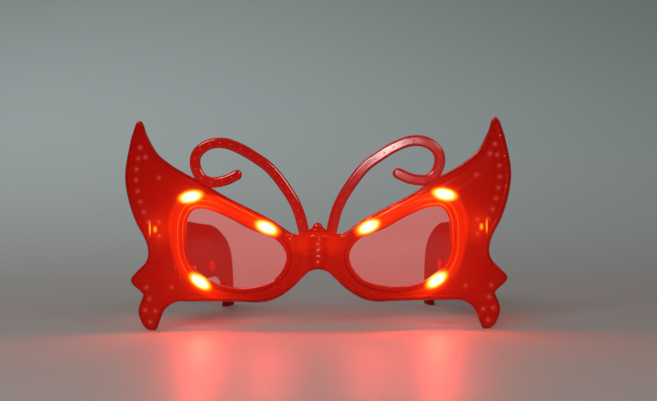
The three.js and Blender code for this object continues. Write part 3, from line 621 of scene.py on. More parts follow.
# The pips on the wings.
# Small raised dots of the moulding, in a row inside each wing's outer edge and in a few places
# on its field.
PIP_INSET = 4.8
PIP_ROW_START, PIP_ROW_FOOT = 70, 36
FIELD_PIPS = [
    (66.0, 63.8), (66.3, 45.4), (66.3, 39.4), (61.1, 18.0), (71.8, 18.0), (70.7, 13.2),
    (68.2, 8.2), (72.4, 8.6), (70.3, 3.6),
]
pip_row = smooth_run(offset_loop(outline, -PIP_INSET), PIP_PITCH, closed=True)
pip_row = pip_row[(pip_row[:, 0] > PIP_ROW_START) & (pip_row[:, 1] > PIP_ROW_FOOT)]
pip_row = pip_row[distance_to(pip_row, half_outline) > PIP_INSET - 0.4]
wing_pips = np.vstack([pip_row, FIELD_PIPS])
for (x, z), depth in zip(wing_pips, front_relief(wing_pips)):
    for side in (1, -1):
        ball(body, (side * x, depth + 0.12, z), PIP_RADIUS, 3)

# The back of the front.
# Behind each rim runs a channel for the lamps and the lead. The hinge ears and the nose rests
# stand on the same side.
CHANNEL_OFFSET = 3.3
CHANNEL_WIDTH = 4.6
CHANNEL_FLOOR = 1.6
CHANNEL_BACK = 4.6
CHANNEL_START, CHANNEL_END = 0.02, 0.604
TOP_LAMP_OFFSET, TOP_LAMP_SHARE = 5.32, 0.3
HINGE = (69.224, 9.55, 42.7)
HINGE_EAR_RADIUS = 2.4
HINGE_EAR_HEIGHT = 3.2
HINGE_EAR_STEP = 3.5
SPUR_SHARE, SPUR_END = 0.442, (64.62, 33.7)
REST_WIDTH, REST_LENGTH = 1.6, 4
coarse_lens = smooth_run(placed(lens_shares, lens_origin, lens_size), 0.25, closed=True)


def loop_point(offset, share):
    """A place beside the lens, and the way that the rim runs there."""
    loop = offset_loop(coarse_lens, offset)
    i = round(share * len(loop)) % len(loop)
    ahead = loop[(i + 3) % len(loop)] - loop[i - 3]
    return loop[i], ahead / np.linalg.norm(ahead)


def loop_span(offset, start, stop):
    """A stretch of the line that runs round the lens at an offset."""
    loop = offset_loop(coarse_lens, offset)
    return smooth_run(loop[round(start * len(loop)):round(stop * len(loop)) + 1][::4], 1.0)


channel_path = loop_span(CHANNEL_OFFSET, CHANNEL_START, CHANNEL_END)
spur_path = np.array([loop_point(CHANNEL_OFFSET, SPUR_SHARE)[0], SPUR_END])
top_at, top_ahead = loop_point(TOP_LAMP_OFFSET, TOP_LAMP_SHARE)
top_path = np.array([top_at - top_ahead * 1.0, top_at + top_ahead * 3.5])
channel_outlines = [ribbon(path, CHANNEL_WIDTH) for path in (channel_path, spur_path, top_path)]
rest_path = smooth_run(placed(nose_shares[3:6], (-0.8, NOSE_TOP + 1.6), nose_size), 0.8)
ear_foot = WING_THICKNESS / 2 - HINGE[1]
ear_outline = [(-HINGE_EAR_RADIUS, ear_foot), (HINGE_EAR_RADIUS, ear_foot)]
ear_outline += arc((0, 0), HINGE_EAR_RADIUS, 0, math.pi, 16)
for side in (1, -1):
    for points in channel_outlines:
        put_outline(body, to_side(points, side), CHANNEL_FLOOR, CHANNEL_BACK, 0.2, along_y)
    rest = to_side(ribbon(rest_path, REST_WIDTH), side)
    put_outline(body, rest, WING_THICKNESS / 2, RIM_BACK + REST_LENGTH, 0.5, along_y)
    for step in (-1, 1):
        low = HINGE[2] + step * HINGE_EAR_STEP - HINGE_EAR_HEIGHT / 2
        ear = [(side * (HINGE[0] + u), HINGE[1] + v) for u, v in ear_outline]
        put_outline(body, ear, low, low + HINGE_EAR_HEIGHT, 0.3, along_z)
body_data = bpy.data.meshes.new("body_form")
body.to_mesh(body_data)
body.free()
front.from_mesh(body_data)
bpy.data.meshes.remove(body_data)

# The red plastic.
# A clear red styrene with a high gloss. Where the lit lamps shine into it, a painted glow in its
# emission colour stands for their light: orange round them and along the channel, and white at the
# lamps themselves, over a fainter painted glow on the whole field. Painted shade darkens the ribbed
# body and the edges, and painted highlights mark the rims' steps, the pips and the hinges. A full
# glow has the strength 1.
LAMPS = [
    ("inner", 0.05, CHANNEL_OFFSET), ("top", TOP_LAMP_SHARE, TOP_LAMP_OFFSET),
    ("bottom", 0.575, CHANNEL_OFFSET),
]
SEEN_ASIDE = {"inner": (-0.25, -0.95), "top": (1.35, -0.15), "bottom": (-0.25, 0.8)}
CORE_LENGTH, CORE_WIDTH = 4.7, 2.35
HALO_START, HALO_SQUEEZE = 3, 1.3
HALOS = ((0.7, 3.4), (0.36, 10))
UPPER_GLOW, OUTER_GLOW, LOW_GLOW = 0.66, 0.4, 0.56
LOW_GLOW_END, LOW_GLOW_REACH = 47, 11
HINGE_GLOW, HINGE_GLOW_AT, HINGE_GLOW_REACH = 0.4, (66.5, 42.5), (7, 8)
BRIDGE_GLOW, BRIDGE_REACH = 0.32, 16
TRUNK_SHADE, RIB_SHADE = 0.07, 0.03
FACET_GLOW, FACET_AT, FACET_REACH = 0.06, (7.5, BRIDGE_TOP - 6), (3, 3)
FIELD_GLOW, NEAR_GLOW, NEAR_GLOW_REACH, FEELER_GLOW = 0.28, 0.2, 12, 0.04
PIP_GLOWS = ((wing_pips, 0.7, 0.28), (feeler_pips, 0.6, 0.22), (body_pips, 0.5, 0.6))
FAR_FROM_EDGE = 10
CREASE_ANGLE = math.radians(35)
lamp_places = {name: loop_point(offset, share) for name, share, offset in LAMPS}
upper_line = loop_span(2.9, CHANNEL_START, 0.31)
outer_line = loop_span(3.4, 0.3, 0.6)
low_line = loop_span(4.2, 0.57, 0.86)


def band(distance, strength, full, none):
    """A glow of even strength along a line, which fades out on both sides."""
    return strength * (1 - ease(distance, full, none))


def blot(points, centre, reach):
    """A soft oval spot of strength 1."""
    return np.exp(-np.sum(((points - centre) / reach) ** 2, axis=1))


def glow_at(points):
    """How strongly the painted glow lights the plastic at each place, and how near it is to a lamp
    and to a pip, which carry the painted lamp glare and the pips' painted glints.
    """
    right = on_right(points)
    across, rise = right.T
    # halo is the painted orange glow round each lamp, core its painted white glare.
    halo, core, pip = np.zeros((3, len(right)))
    for name, (at, ahead) in lamp_places.items():
        away = right - at - SEEN_ASIDE[name]
        along, beside = away @ ahead, away @ np.array([-ahead[1], ahead[0]])
        near = (along / CORE_LENGTH) ** 2 + (beside / CORE_WIDTH) ** 2
        core = np.maximum(core, np.exp(-(near**2)))
        gap = np.maximum(np.hypot(along, beside * HALO_SQUEEZE) - HALO_START, 0)
        for strength, reach in HALOS:
            halo = np.maximum(halo, strength * np.exp(-gap / reach))
    outer_gap, widening = distance_to(right, outer_line), ease(rise, 30, 46)
    upper = band(distance_to(right, upper_line), UPPER_GLOW, 2.4, 4.4)
    outer = band(outer_gap, OUTER_GLOW, 2.0 + 1.2 * widening, 3.4 + 1.6 * widening)
    low = band(distance_to(right, low_line), LOW_GLOW, 1.4, 3.2)
    low = low * np.exp(-np.maximum(LOW_GLOW_END - across, 0) / LOW_GLOW_REACH)
    hinge = HINGE_GLOW * blot(right, HINGE_GLOW_AT, HINGE_GLOW_REACH)
    # The bridge's glow is painted light. The trunk and rib terms are painted shade on the ribbed body, and
    # the facet blot is a painted highlight.
    bridge = BRIDGE_GLOW * np.exp(-((across / BRIDGE_REACH) ** 2)) * (0.55 + 0.45 * ease(rise, 28, 36))
    bridge = bridge * (1 - 0.55 * ease(rise, BRIDGE_TOP - 1, BRIDGE_TOP + 1))
    trunk = (1 - ease(across, 3.4, 4.4)) * (rise < BRIDGE_TOP - 2.5)
    ribs = np.cos(math.tau * (rise - BRIDGE_TOP + BODY_PIP_DROP) / BODY_PIP_PITCH)
    bridge = bridge - trunk * (TRUNK_SHADE + RIB_SHADE * ribs)
    bridge = bridge + FACET_GLOW * blot(right, FACET_AT, FACET_REACH)
    field = FIELD_GLOW + NEAR_GLOW * np.exp(-outer_gap / NEAR_GLOW_REACH) + bridge
    field = field + FEELER_GLOW * ease(rise, 60, 72) * (across < 53)
    lines = np.maximum(np.maximum(upper, outer), low)
    glow = 1 - (1 - halo) * (1 - lines) * (1 - hinge) * (1 - field)
    # The pips get painted glints, strongest on the body's dots.
    for places, reach, strength in PIP_GLOWS:
        away = right[:, None] - np.array(places)[None]
        nearest = np.min(np.hypot(away[:, :, 0], away[:, :, 1]), axis=1)
        pip = np.maximum(pip, strength * np.exp(-((nearest / reach) ** 2)))
    return glow, core, pip


def make_piece(mesh, name, material, body, replaced):
    """Turns a mesh, in millimetres behind the front's face, into a finished piece on its body."""
    bmesh.ops.scale(mesh, vec=(MM, MM, MM), verts=mesh.verts[:])
    bmesh.ops.translate(mesh, vec=(0, front_plane, 0), verts=mesh.verts[:])
    bmesh.ops.recalc_face_normals(mesh, faces=mesh.faces[:])
    for face in mesh.faces:
        face.smooth = True
    for crease in mesh.edges:
        if len(crease.link_faces) == 2 and crease.calc_face_angle() > CREASE_ANGLE:
            crease.smooth = False
    data = bpy.data.meshes.new(name)
    mesh.to_mesh(data)
    mesh.free()
    piece = bpy.data.objects.new(name, data)
    scene.collection.objects.link(piece)
    data.materials.append(material)
    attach(piece, body)
    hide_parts(*replaced)
    return piece


def add_glow(piece):
    """Stores the painted glow and the distances from the edge and the lens with the piece's vertices."""
    places = np.array([(v.co.x / MM, v.co.z / MM) for v in piece.data.vertices])
    right = on_right(places)
    glow, core, pip = glow_at(places)
    past_middle = [[-1, half_outline[-1, 1]], [-1, half_outline[0, 1]]]
    held = is_inside(right, np.vstack([half_outline, past_middle]))
    edge_gap = distance_to(right, half_outline)
    lens_gap = distance_to(right, lens_loop, closed=True)
    fields = {
        "glow": glow, "core": core, "pip": pip,
        "from_edge": np.where(held, edge_gap, FAR_FROM_EDGE),
        "from_lens": np.where(held, lens_gap, FAR_FROM_EDGE),
        "loose": ~held & (edge_gap > 0.3) & (right[:, 0] > 4),
    }
    for label, values in fields.items():
        attribute = piece.data.attributes.new(label, "FLOAT", "POINT")
        attribute.data.foreach_set("value", values.astype(np.float32))


def moulding_marks():
    """Faint flow ripples and dust on moulded plastic: a group that gives a height and a mask."""
    group = bpy.data.node_groups.new("moulding_marks", "ShaderNodeTree")
    for label, scale in (("Ripple Scale", 90), ("Dust Scale", 900)):
        socket = group.interface.new_socket(label, in_out="INPUT", socket_type="NodeSocketFloat")
        socket.default_value = scale
    for label in ("Height", "Dust"):
        group.interface.new_socket(label, in_out="OUTPUT", socket_type="NodeSocketFloat")
    nodes, links = group.nodes, group.links
    inlet, outlet = nodes.new("NodeGroupInput"), nodes.new("NodeGroupOutput")
    place = nodes.new("ShaderNodeTexCoord")
    ripple, dust = nodes.new("ShaderNodeTexNoise"), nodes.new("ShaderNodeTexNoise")
    set_sockets(dust, {"Detail": 4})
    specks = map_range(nodes, 0.62, 0.72)
    for noise, label in ((ripple, "Ripple Scale"), (dust, "Dust Scale")):
        links.new(place.outputs["Object"], noise.inputs["Vector"])
        links.new(inlet.outputs[label], noise.inputs["Scale"])
    links.new(dust.outputs["Fac"], specks.inputs["Value"])
    links.new(ripple.outputs["Fac"], outlet.inputs["Height"])
    links.new(specks.outputs["Result"], outlet.inputs["Dust"])
    return group


marks_group = moulding_marks()
BUMP_DISTANCE = 0.0004
DUST_ROUGHNESS = 0.25


def add_marks(material, ripple, dust, bump):
    """Puts the moulding's ripples and dust into a material: a bump, and a rougher gloss where dust lies.
    """
    nodes, links = material.node_tree.nodes, material.node_tree.links
    shader = nodes["Principled BSDF"]
    marks_and_glints = nodes.new("ShaderNodeGroup")
    marks_and_glints.node_tree = marks_group
    set_sockets(marks_and_glints, {"Ripple Scale": ripple, "Dust Scale": dust})
    bend = nodes.new("ShaderNodeBump")
    set_sockets(bend, {"Strength": bump, "Distance": BUMP_DISTANCE})
    links.new(marks_and_glints.outputs["Height"], bend.inputs["Height"])
    links.new(bend.outputs["Normal"], shader.inputs["Normal"])
    clean = shader.inputs["Roughness"].default_value
    gloss = map_range(nodes, 0, 1, clean, min(clean + DUST_ROUGHNESS, 1))
    links.new(marks_and_glints.outputs["Dust"], gloss.inputs["Value"])
    links.new(gloss.outputs["Result"], shader.inputs["Roughness"])


def let_shadows_through(material, colour):
    """Clear plastic throws a coloured shadow: rays towards a lamp pass, tinted."""
    nodes, links = material.node_tree.nodes, material.node_tree.links
    passing, pick = nodes.new("ShaderNodeBsdfTransparent"), nodes.new("ShaderNodeMixShader")
    path_kind = nodes.new("ShaderNodeLightPath")
    set_sockets(passing, {"Color": (*colour, 1)})
    links.new(path_kind.outputs["Is Shadow Ray"], pick.inputs["Fac"])
    links.new(nodes["Principled BSDF"].outputs["BSDF"], pick.inputs[1])
    links.new(passing.outputs["BSDF"], pick.inputs[2])
    links.new(pick.outputs["Shader"], nodes["Material Output"].inputs["Surface"])


# Painted light on the red plastic. Bright lines at the rim's steps and the wing's border are painted
# highlights, weaker near the bridge. A band along the edges and the face's turn from view give painted
# shade. The hinge glints and the pips' pale tone are painted highlights, and the tone ramps colour the
# painted glow and the lamps' painted glare.
RING_PLACES, RING_WIDTH, RING_START, RING_END = (1.15, 3.4), 0.25, 38, 50
BORDER_LINE, BORDER_LINE_WIDTH, LINE_STRENGTH = 1.9, 0.3, 0.32
BODY_SIDE, BODY_SIDE_END, BODY_LINES = 8, 12, 0.3
EDGE_SHADE_NARROW, EDGE_SHADE_WIDE, EDGE_SHADE_STRENGTH = 1.1, 4.5, 0.2
FACING_BLEND, FACING_SHADE = 0.35, 0.18
HINGE_GLINTS, GLINT_HEAT = ((70.1, 42.6, 0.5, 3.2), (67.9, 42.3, 0.9, 1.5)), 0.33
PAINTED_GLOW_TONES = [
    (0.0, (0.01, 0.0, 0.0)), (0.25, (0.07, 0.0012, 0.0006)), (0.5, (0.24, 0.005, 0.0015)),
    (0.75, (0.68, 0.018, 0.002)), (0.88, (0.95, 0.045, 0.003)), (1.0, (1.2, 0.2, 0.01)),
]
CORE_GLARE_TONES = [
    (0.0, (0.9, 0.06, 0.003)), (0.3, (1.4, 0.4, 0.01)), (0.55, (1.6, 0.9, 0.06)),
    (0.85, (1.7, 1.2, 0.92)),
]
PIP_GLINT_TONE = (0.9, 0.17, 0.12, 1)
MOULDING_SHEEN, FEELER_SHEEN = (1.0, 0.2, 0.1, 1), (1.0, 0.9, 0.88, 1)


def glowing_plastic(name):
    """Clear red plastic whose painted glow, painted highlights and painted shade follow the piece's own
    attributes.
    """
    material = new_finish(name, {
        "Base Color": (0.2, 0.002, 0.0015, 1), "Roughness": 0.1, "IOR": 1.5, "Emission Strength": 1.0,
    })
    nodes, links = material.node_tree.nodes, material.node_tree.links
    shader = nodes["Principled BSDF"]

    def attribute(label):
        reader = nodes.new("ShaderNodeAttribute")
        reader.attribute_name = label
        return reader.outputs["Fac"]

    def sum_of(operation, one, other=0):
        step = nodes.new("ShaderNodeMath")
        step.operation = operation
        for socket, value in zip(step.inputs, (one, other)):
            if isinstance(value, (int, float)):
                socket.default_value = value
            else:
                links.new(value, socket)
        return step.outputs["Value"]

    def ranged(value, *limits, smooth=False):
        fade = map_range(nodes, *limits, smooth=smooth)
        links.new(value, fade.inputs["Value"])
        return fade.outputs["Result"]

    def toned(value, stops):
        ramp = nodes.new("ShaderNodeValToRGB")
        elements = ramp.color_ramp.elements
        while len(elements) < len(stops):
            elements.new(0.5)
        for element, (position, colour) in zip(elements, stops):
            element.position, element.color = position, (*colour, 1)
        links.new(value, ramp.inputs["Fac"])
        return ramp.outputs["Color"]

    def mixed(factor, one, other):
        mix = colour_mix(nodes, {})
        for label, value in (("Factor", factor), ("A", one), ("B", other)):
            if isinstance(value, tuple):
                mix.inputs[label].default_value = value
            else:
                links.new(value, mix.inputs[label])
        return mix.outputs["Result"]

    def line_at(distance, where, width):
        away = sum_of("ABSOLUTE", sum_of("SUBTRACT", distance, where))
        return ranged(away, 0.0, width, 1.0, 0.0, smooth=True)

    def share_of(value, middle, half):
        away = sum_of("ABSOLUTE", sum_of("SUBTRACT", value, middle * MM))
        return sum_of("POWER", sum_of("DIVIDE", away, half * MM), 3)

    def block_at(across, rise, half_across, half_rise):
        sideways = share_of(aside, across, half_across)
        upwards = share_of(spread.outputs["Z"], rise, half_rise)
        return line_at(sum_of("POWER", sum_of("ADD", sideways, upwards), 0.333), 0.0, 1.4)

    glow, core = attribute("glow"), attribute("core")
    from_edge, from_lens = attribute("from_edge"), attribute("from_lens")
    place, spread = nodes.new("ShaderNodeTexCoord"), nodes.new("ShaderNodeSeparateXYZ")
    links.new(place.outputs["Object"], spread.inputs["Vector"])
    aside = sum_of("ABSOLUTE", spread.outputs["X"])
    outwards = ranged(aside, RING_START * MM, RING_END * MM)
    off_bridge = ranged(aside, BODY_SIDE * MM, BODY_SIDE_END * MM, BODY_LINES, 1.0)
    # Painted highlight lines along the rim's steps and the wing's border, weaker near the bridge.
    rings = sum_of("MAXIMUM", *[line_at(from_lens, where, RING_WIDTH) for where in RING_PLACES])
    rings = sum_of("MULTIPLY", rings, outwards)
    lines = sum_of("MAXIMUM", rings, line_at(from_edge, BORDER_LINE, BORDER_LINE_WIDTH))
    lines = sum_of("MULTIPLY", sum_of("MULTIPLY", lines, off_bridge), glow)
    bright = sum_of("ADD", glow, sum_of("MULTIPLY", lines, LINE_STRENGTH))
    # Painted shade: a band along the edges, and where the face turns away from view.
    narrow, wide = line_at(from_edge, 0.0, EDGE_SHADE_NARROW), line_at(from_edge, 0.0, EDGE_SHADE_WIDE)
    edge_shade = sum_of("MULTIPLY", sum_of("ADD", narrow, sum_of("MULTIPLY", wide, 0.5)), EDGE_SHADE_STRENGTH)
    facing = nodes.new("ShaderNodeLayerWeight")
    set_sockets(facing, {"Blend": FACING_BLEND})
    shade = sum_of("ADD", edge_shade, sum_of("MULTIPLY", facing.outputs["Facing"], FACING_SHADE))
    shade = sum_of("MULTIPLY", shade, off_bridge)
    glow_colour = toned(sum_of("SUBTRACT", bright, shade), PAINTED_GLOW_TONES)
    # Painted glints at the hinges, and the painted white glare at the lamps.
    marks_and_glints = sum_of("MAXIMUM", *[block_at(*glint_block) for glint_block in HINGE_GLINTS])
    core_glare = sum_of("MAXIMUM", core, sum_of("MULTIPLY", marks_and_glints, GLINT_HEAT))
    near_lamp = sum_of("MINIMUM", sum_of("MULTIPLY", core_glare, 4.0), 1.0)
    # The pips are paled by painted glints.
    with_pip_glints = mixed(attribute("pip"), glow_colour, PIP_GLINT_TONE)
    links.new(mixed(near_lamp, with_pip_glints, toned(core_glare, CORE_GLARE_TONES)), shader.inputs["Emission Color"])
    sheen = mixed(attribute("loose"), MOULDING_SHEEN, FEELER_SHEEN)
    links.new(sheen, shader.inputs["Specular Tint"])
    add_marks(material, 70, 900, 0.07)
    let_shadows_through(material, (0.8, 0.12, 0.08))
    return material


red_plastic = glowing_plastic("clear_red_plastic")
add_glow(make_piece(front, "front_moulding", red_plastic, "front", ["front_frame"]))

# The lenses.
# Clear acrylic with the faintest rose tint, cut flat and let into the rims from behind.
LENS_FIT = 0.6
LENS_BACK = LENS_FRONT + 1.0
SIDES = (("left", -1), ("right", 1))
# Its faint red emission is painted light: the red haze that the lamps give the lens.
lens_clear = new_finish("clear_acrylic", {
    "Base Color": (0.95, 0.67, 0.64, 1), "Roughness": 0.02, "IOR": 1.3, "Transmission Weight": 1.0,
    "Emission Color": (1.0, 0.02, 0.01, 1), "Emission Strength": 0.17,
})
add_marks(lens_clear, 30, 1500, 0.03)
let_shadows_through(lens_clear, (0.96, 0.8, 0.78))
lens_outline = offset_loop(lens_loop, LENS_FIT)
for name, side in SIDES:
    pane = bmesh.new()
    put_outline(pane, to_side(lens_outline, side), LENS_FRONT, LENS_BACK, 0.15, along_y)
    make_piece(pane, f"lens_{name}_pane", lens_clear, "front", [f"lens_{name}"])

# The covers behind the rims.
# Strips of the same red plastic, glued over the lamp channels after the lead is laid.
COVER_FRONT = CHANNEL_BACK + 0.3
COVER_BACK = COVER_FRONT + 1.0
for name, side in SIDES:
    strip = bmesh.new()
    for points in channel_outlines:
        put_outline(strip, to_side(points, side), COVER_FRONT, COVER_BACK, 0.3, along_y)
    strip_piece = make_piece(
        strip, f"rear_cover_{name}_strip", red_plastic, "front", [f"rear_cover_{name}"],
    )
    add_glow(strip_piece)

# The lamps.
# Three millimetre clear lamps with a domed end, a base flange and two legs that are soldered
# to the lead.
LAMP_RADIUS, LAMP_DEPTH = 1.5, 2.8
FLANGE_RADIUS, FLANGE_FOOT, FLANGE_TOP = 1.62, -2.5, -1.6
LEG_ASIDE, LEG_RADIUS, LEG_FOOT, LEG_TOP = 0.75, 0.25, -4.7, -2.4
FACING = {"inner": -1, "top": -1, "bottom": 1}
lamp_glass = new_finish("lit_lamp", {
    "Base Color": (1.0, 0.85, 0.6, 1), "Roughness": 0.1,
    "Emission Color": (1.0, 0.72, 0.32, 1), "Emission Strength": 6.0,
})
add_marks(lamp_glass, 200, 1500, 0.05)
lamp_profile = [
    (0, FLANGE_FOOT), (FLANGE_RADIUS, FLANGE_FOOT), (FLANGE_RADIUS, FLANGE_TOP),
    (LAMP_RADIUS, FLANGE_TOP),
] + arc((0, 1.0), LAMP_RADIUS, 0, math.pi / 2, 8)
for name, side in SIDES:
    for spot, (at, ahead) in lamp_places.items():
        bulb = bmesh.new()
        turn_profile(bulb, lamp_profile, 24)
        for leg in (-LEG_ASIDE, LEG_ASIDE):
            bmesh.ops.create_cone(
                bulb, cap_ends=True, segments=6, radius1=LEG_RADIUS, radius2=LEG_RADIUS,
                depth=LEG_TOP - LEG_FOOT, matrix=Matrix.Translation((leg, 0, (LEG_TOP + LEG_FOOT) / 2)),
            )
        way = ahead * FACING[spot]
        turn = Matrix.Rotation(math.atan2(way[0], way[1]), 4, "Y")
        place = Matrix.Translation((at[0], LAMP_DEPTH, at[1])) @ turn
        place = Matrix.Diagonal((side, 1, 1, 1)) @ place
        bmesh.ops.transform(bulb, matrix=place, verts=bulb.verts[:])
        led = f"led_{name}_{spot}"
        make_piece(bulb, f"lamp_{name}_{spot}", lamp_glass, "front", [led])

# The light that the lamps throw on the table and on the wall.
# It leaves the red moulding at its face and, weaker, at its back, as a wide soft beam.
LAMP_POWER = 0.138
BEHIND = {"inner": 0.15, "top": 0.55, "bottom": 0.4}
SHINE_COLOUR = (1.0, 0.06, 0.025)
SHINE_SPREAD, SHINE_BLEND, SHINE_RADIUS = 178, 0.85, 2.2
SHINE_AHEAD, SHINE_BEHIND, SHINE_DIP = -2.0, 8.0, -0.35
for name, side in SIDES:
    for spot, (at, ahead) in lamp_places.items():
        ends = (("ahead", -1, SHINE_AHEAD, 1.0), ("behind", 1, SHINE_BEHIND, BEHIND[spot]))
        for end, way, depth, share in ends:
            shine_data = bpy.data.lights.new(f"shine_{name}_{spot}_{end}", "SPOT")
            shine_data.spot_size = math.radians(SHINE_SPREAD)
            shine_data.spot_blend = SHINE_BLEND
            shine_data.shadow_soft_size = SHINE_RADIUS * MM
            shine_data.color = SHINE_COLOUR
            shine_data.energy = LAMP_POWER * share
            shine = bpy.data.objects.new(shine_data.name, shine_data)
            shine.location = (side * at[0] * MM, front_plane + depth * MM, at[1] * MM)
            turn_towards(shine, (0, way, SHINE_DIP))
            shine.visible_camera = False
            scene.collection.objects.link(shine)

# The hinge pins.
# Turned steel with a flat head, pressed down through the ears of the front and the arm's tongue.
pin_profile = [
    (0, -5.1), (0.75, -5.1), (0.9, -4.95), (0.9, 5.4), (1.7, 5.4), (1.7, 5.8), (1.5, 6.0), (0, 6.0),
]
steel = new_finish("plated_steel", {
    "Base Color": (0.62, 0.62, 0.64, 1), "Metallic": 1.0, "Roughness": 0.28,
})
add_marks(steel, 400, 2500, 0.15)
for name, side in SIDES:
    pin = bmesh.new()
    turn_profile(pin, pin_profile, 28)
    bmesh.ops.translate(pin, vec=(side * HINGE[0], HINGE[1], HINGE[2]), verts=pin.verts[:])
    make_piece(pin, f"hinge_pin_{name}_turned", steel, "front", [f"hinge_pin_{name}"])

# The arms.
# Each is one red moulding: a hinge tongue, a flat bar with a groove for the lead on its inner
# face, a hollow box for three button cells with a ledge for its door, and a hook for the ear.
ARM_LENGTH, ARM_HEIGHT, ARM_LEAN = 116.0, 47.4, 9.6
ARM_START, ARM_FACE = 3.1, 1.5
BOX_START, BOX_END, BOX_TOP, BOX_BOTTOM = 44.6, 84.2, 41.3, 16.3
BOX_OUTER, BOX_WALL, BOX_FLOOR, BOX_CORNER = 8.5, 1.6, 7.1, 3.0
DOOR_LEDGE, LEDGE_FLOOR, OVERRUN = 1.0, 0.1, 1
BUTTON_AT, SCREW_AT = (77.0, 22.0), (50.5, 22.0)
RIB_BOTTOM, RIB_TOP, RIB_FACE = 26.1, 27.3, 0.2
BOSS_RADIUS, POST_RADIUS, POST_FACE, POSTS = 2.1, 0.8, 5.5, (68.6, 79.8)
STANDING_END = BOX_FLOOR + 0.7
TONGUE_RADIUS, TONGUE_REACH, TONGUE_HALF = 2.4, 4.7, 1.6
GROOVE_WIDTH, GROOVE_FLOOR = 1.6, 0.1
arm_top_shares = [
    (0.4, 0.93), (0.55, 0.9), (0.67, 0.88), (0.78, 0.825), (0.9, 0.71), (0.965, 0.57),
    (0.99, 0.4), (1, 0.2), (1, 0),
]
arm_bottom_shares = [(0.9, 0), (0.897, 0.14), (0.868, 0.26), (0.81, 0.325), (0.73, 0.35)]
arm_neck_shares = [
    (0.386, 0.42), (0.36, 0.52), (0.33, 0.63), (0.27, 0.71), (0.19, 0.76), (0.1, 0.785),
]
groove_points = [
    (3.4, 36.0), (5.5, 39.2), (10.3, 40.3), (26.8, 40.3), (39.8, 36.4), (43.6, 30.9), (46.0, 28.4),
]
arm_size = (ARM_LENGTH, ARM_HEIGHT)
arm_top = smooth_run([(ARM_START, 47.8)] + placed(arm_top_shares, (0, 0), arm_size), 1.5)
arm_bottom = smooth_run(placed(arm_bottom_shares, (0, 0), arm_size), 1.5)
arm_neck = smooth_run(placed(arm_neck_shares, (0, 0), arm_size) + [(ARM_START, 37.6)], 1.5)
arm_outline = np.vstack([arm_top, arm_bottom, [(81.2, 19.3), (47.6, 19.3)], arm_neck])
groove = ribbon(smooth_run(groove_points, 1.0)[:-3], GROOVE_WIDTH)
tongue = [(-TONGUE_RADIUS, TONGUE_REACH)] + arc((0, 0), TONGUE_RADIUS, math.pi, math.pi, 16)
tongue += [(TONGUE_RADIUS, TONGUE_REACH)]


def rounded_box(left, bottom, right, top, radius):
    """A rectangle with round corners."""
    left, bottom, right, top = left + radius, bottom + radius, right - radius, top - radius
    points = []
    for quarter, centre in enumerate(((right, top), (left, top), (left, bottom), (right, bottom))):
        points += arc(centre, radius, math.pi / 2 * quarter, math.pi / 2, 6)
    return points


def box_outline(inset):
    """The outline of the cell box, or one inside it."""
    left, bottom, right, top = BOX_START + inset, BOX_BOTTOM + inset, BOX_END - inset, BOX_TOP - inset
    return rounded_box(left, bottom, right, top, BOX_CORNER - inset)


def round_hole(centre, radius):
    return arc(centre, radius, 0, math.tau, 24)[:-1]


def carve(mesh, shape, low, high):
    """Cuts a space of the given shape out of a closed mesh and gives the rest as a new mesh."""
    space = bmesh.new()
    put_outline(space, shape, low, high, 0, along_x)
    holders = []
    for label, source in (("block", mesh), ("space", space)):
        data = bpy.data.meshes.new(label)
        source.to_mesh(data)
        source.free()
        holders.append(bpy.data.objects.new(label, data))
        scene.collection.objects.link(holders[-1])
    cut = holders[0].modifiers.new("cut", "BOOLEAN")
    cut.operation, cut.solver, cut.use_self, cut.object = "DIFFERENCE", "EXACT", True, holders[1]
    rest = bmesh.new()
    rest.from_object(holders[0], bpy.context.evaluated_depsgraph_get())
    for holder in holders:
        bpy.data.meshes.remove(holder.data)
    return rest


def lean_out(mesh, side):
    """From the arm's own space, X outwards and Y back from the pin, to the glasses' space."""
    lean = Matrix.Rotation(math.radians(ARM_LEAN), 4, "Z")
    place = Matrix.Diagonal((side, 1, 1, 1)) @ Matrix.Translation((HINGE[0], HINGE[1], 0)) @ lean
    bmesh.ops.transform(mesh, matrix=place, verts=mesh.verts[:])


# The faint red emission of the arm plastic is painted light from the lamps. The door and button copies of
# it keep it.
dark_plastic = new_finish("arm_red_plastic", {
    "Base Color": (0.05, 0.0015, 0.001, 1), "Roughness": 0.5, "IOR": 1.5, "Specular IOR Level": 0.02,
    "Emission Color": (1.0, 0.02, 0.008, 1), "Emission Strength": 0.03,
})
add_marks(dark_plastic, 60, 1000, 0.25)
for name, side in SIDES:
    arm = bmesh.new()
    put_outline(arm, arm_outline, -ARM_FACE, ARM_FACE, 0.6, along_x, pockets=[(groove, GROOVE_FLOOR)])
    put_outline(arm, box_outline(0), -ARM_FACE, BOX_OUTER, 1.1, along_x)
    arm = carve(arm, box_outline(BOX_WALL), -ARM_FACE - OVERRUN, BOX_FLOOR)
    arm = carve(arm, box_outline(DOOR_LEDGE), -ARM_FACE - OVERRUN, LEDGE_FLOOR)
    rib = rounded_box(BOX_START + 4.5, RIB_BOTTOM, BOX_END - 0.8, RIB_TOP, 0.3)
    put_outline(arm, rib, RIB_FACE, STANDING_END, 0, along_x)
    put_outline(arm, round_hole(SCREW_AT, BOSS_RADIUS), RIB_FACE, STANDING_END, 0, along_x)
    for post in POSTS:
        put_outline(arm, round_hole((post, SCREW_AT[1]), POST_RADIUS), POST_FACE, STANDING_END, 0, along_x)
    put_outline(arm, tongue, HINGE[2] - TONGUE_HALF, HINGE[2] + TONGUE_HALF, 0.25, along_z)
    lean_out(arm, side)
    make_piece(arm, f"arm_{name}_moulding", dark_plastic, f"arm_{name}", [f"temple_{name}"])


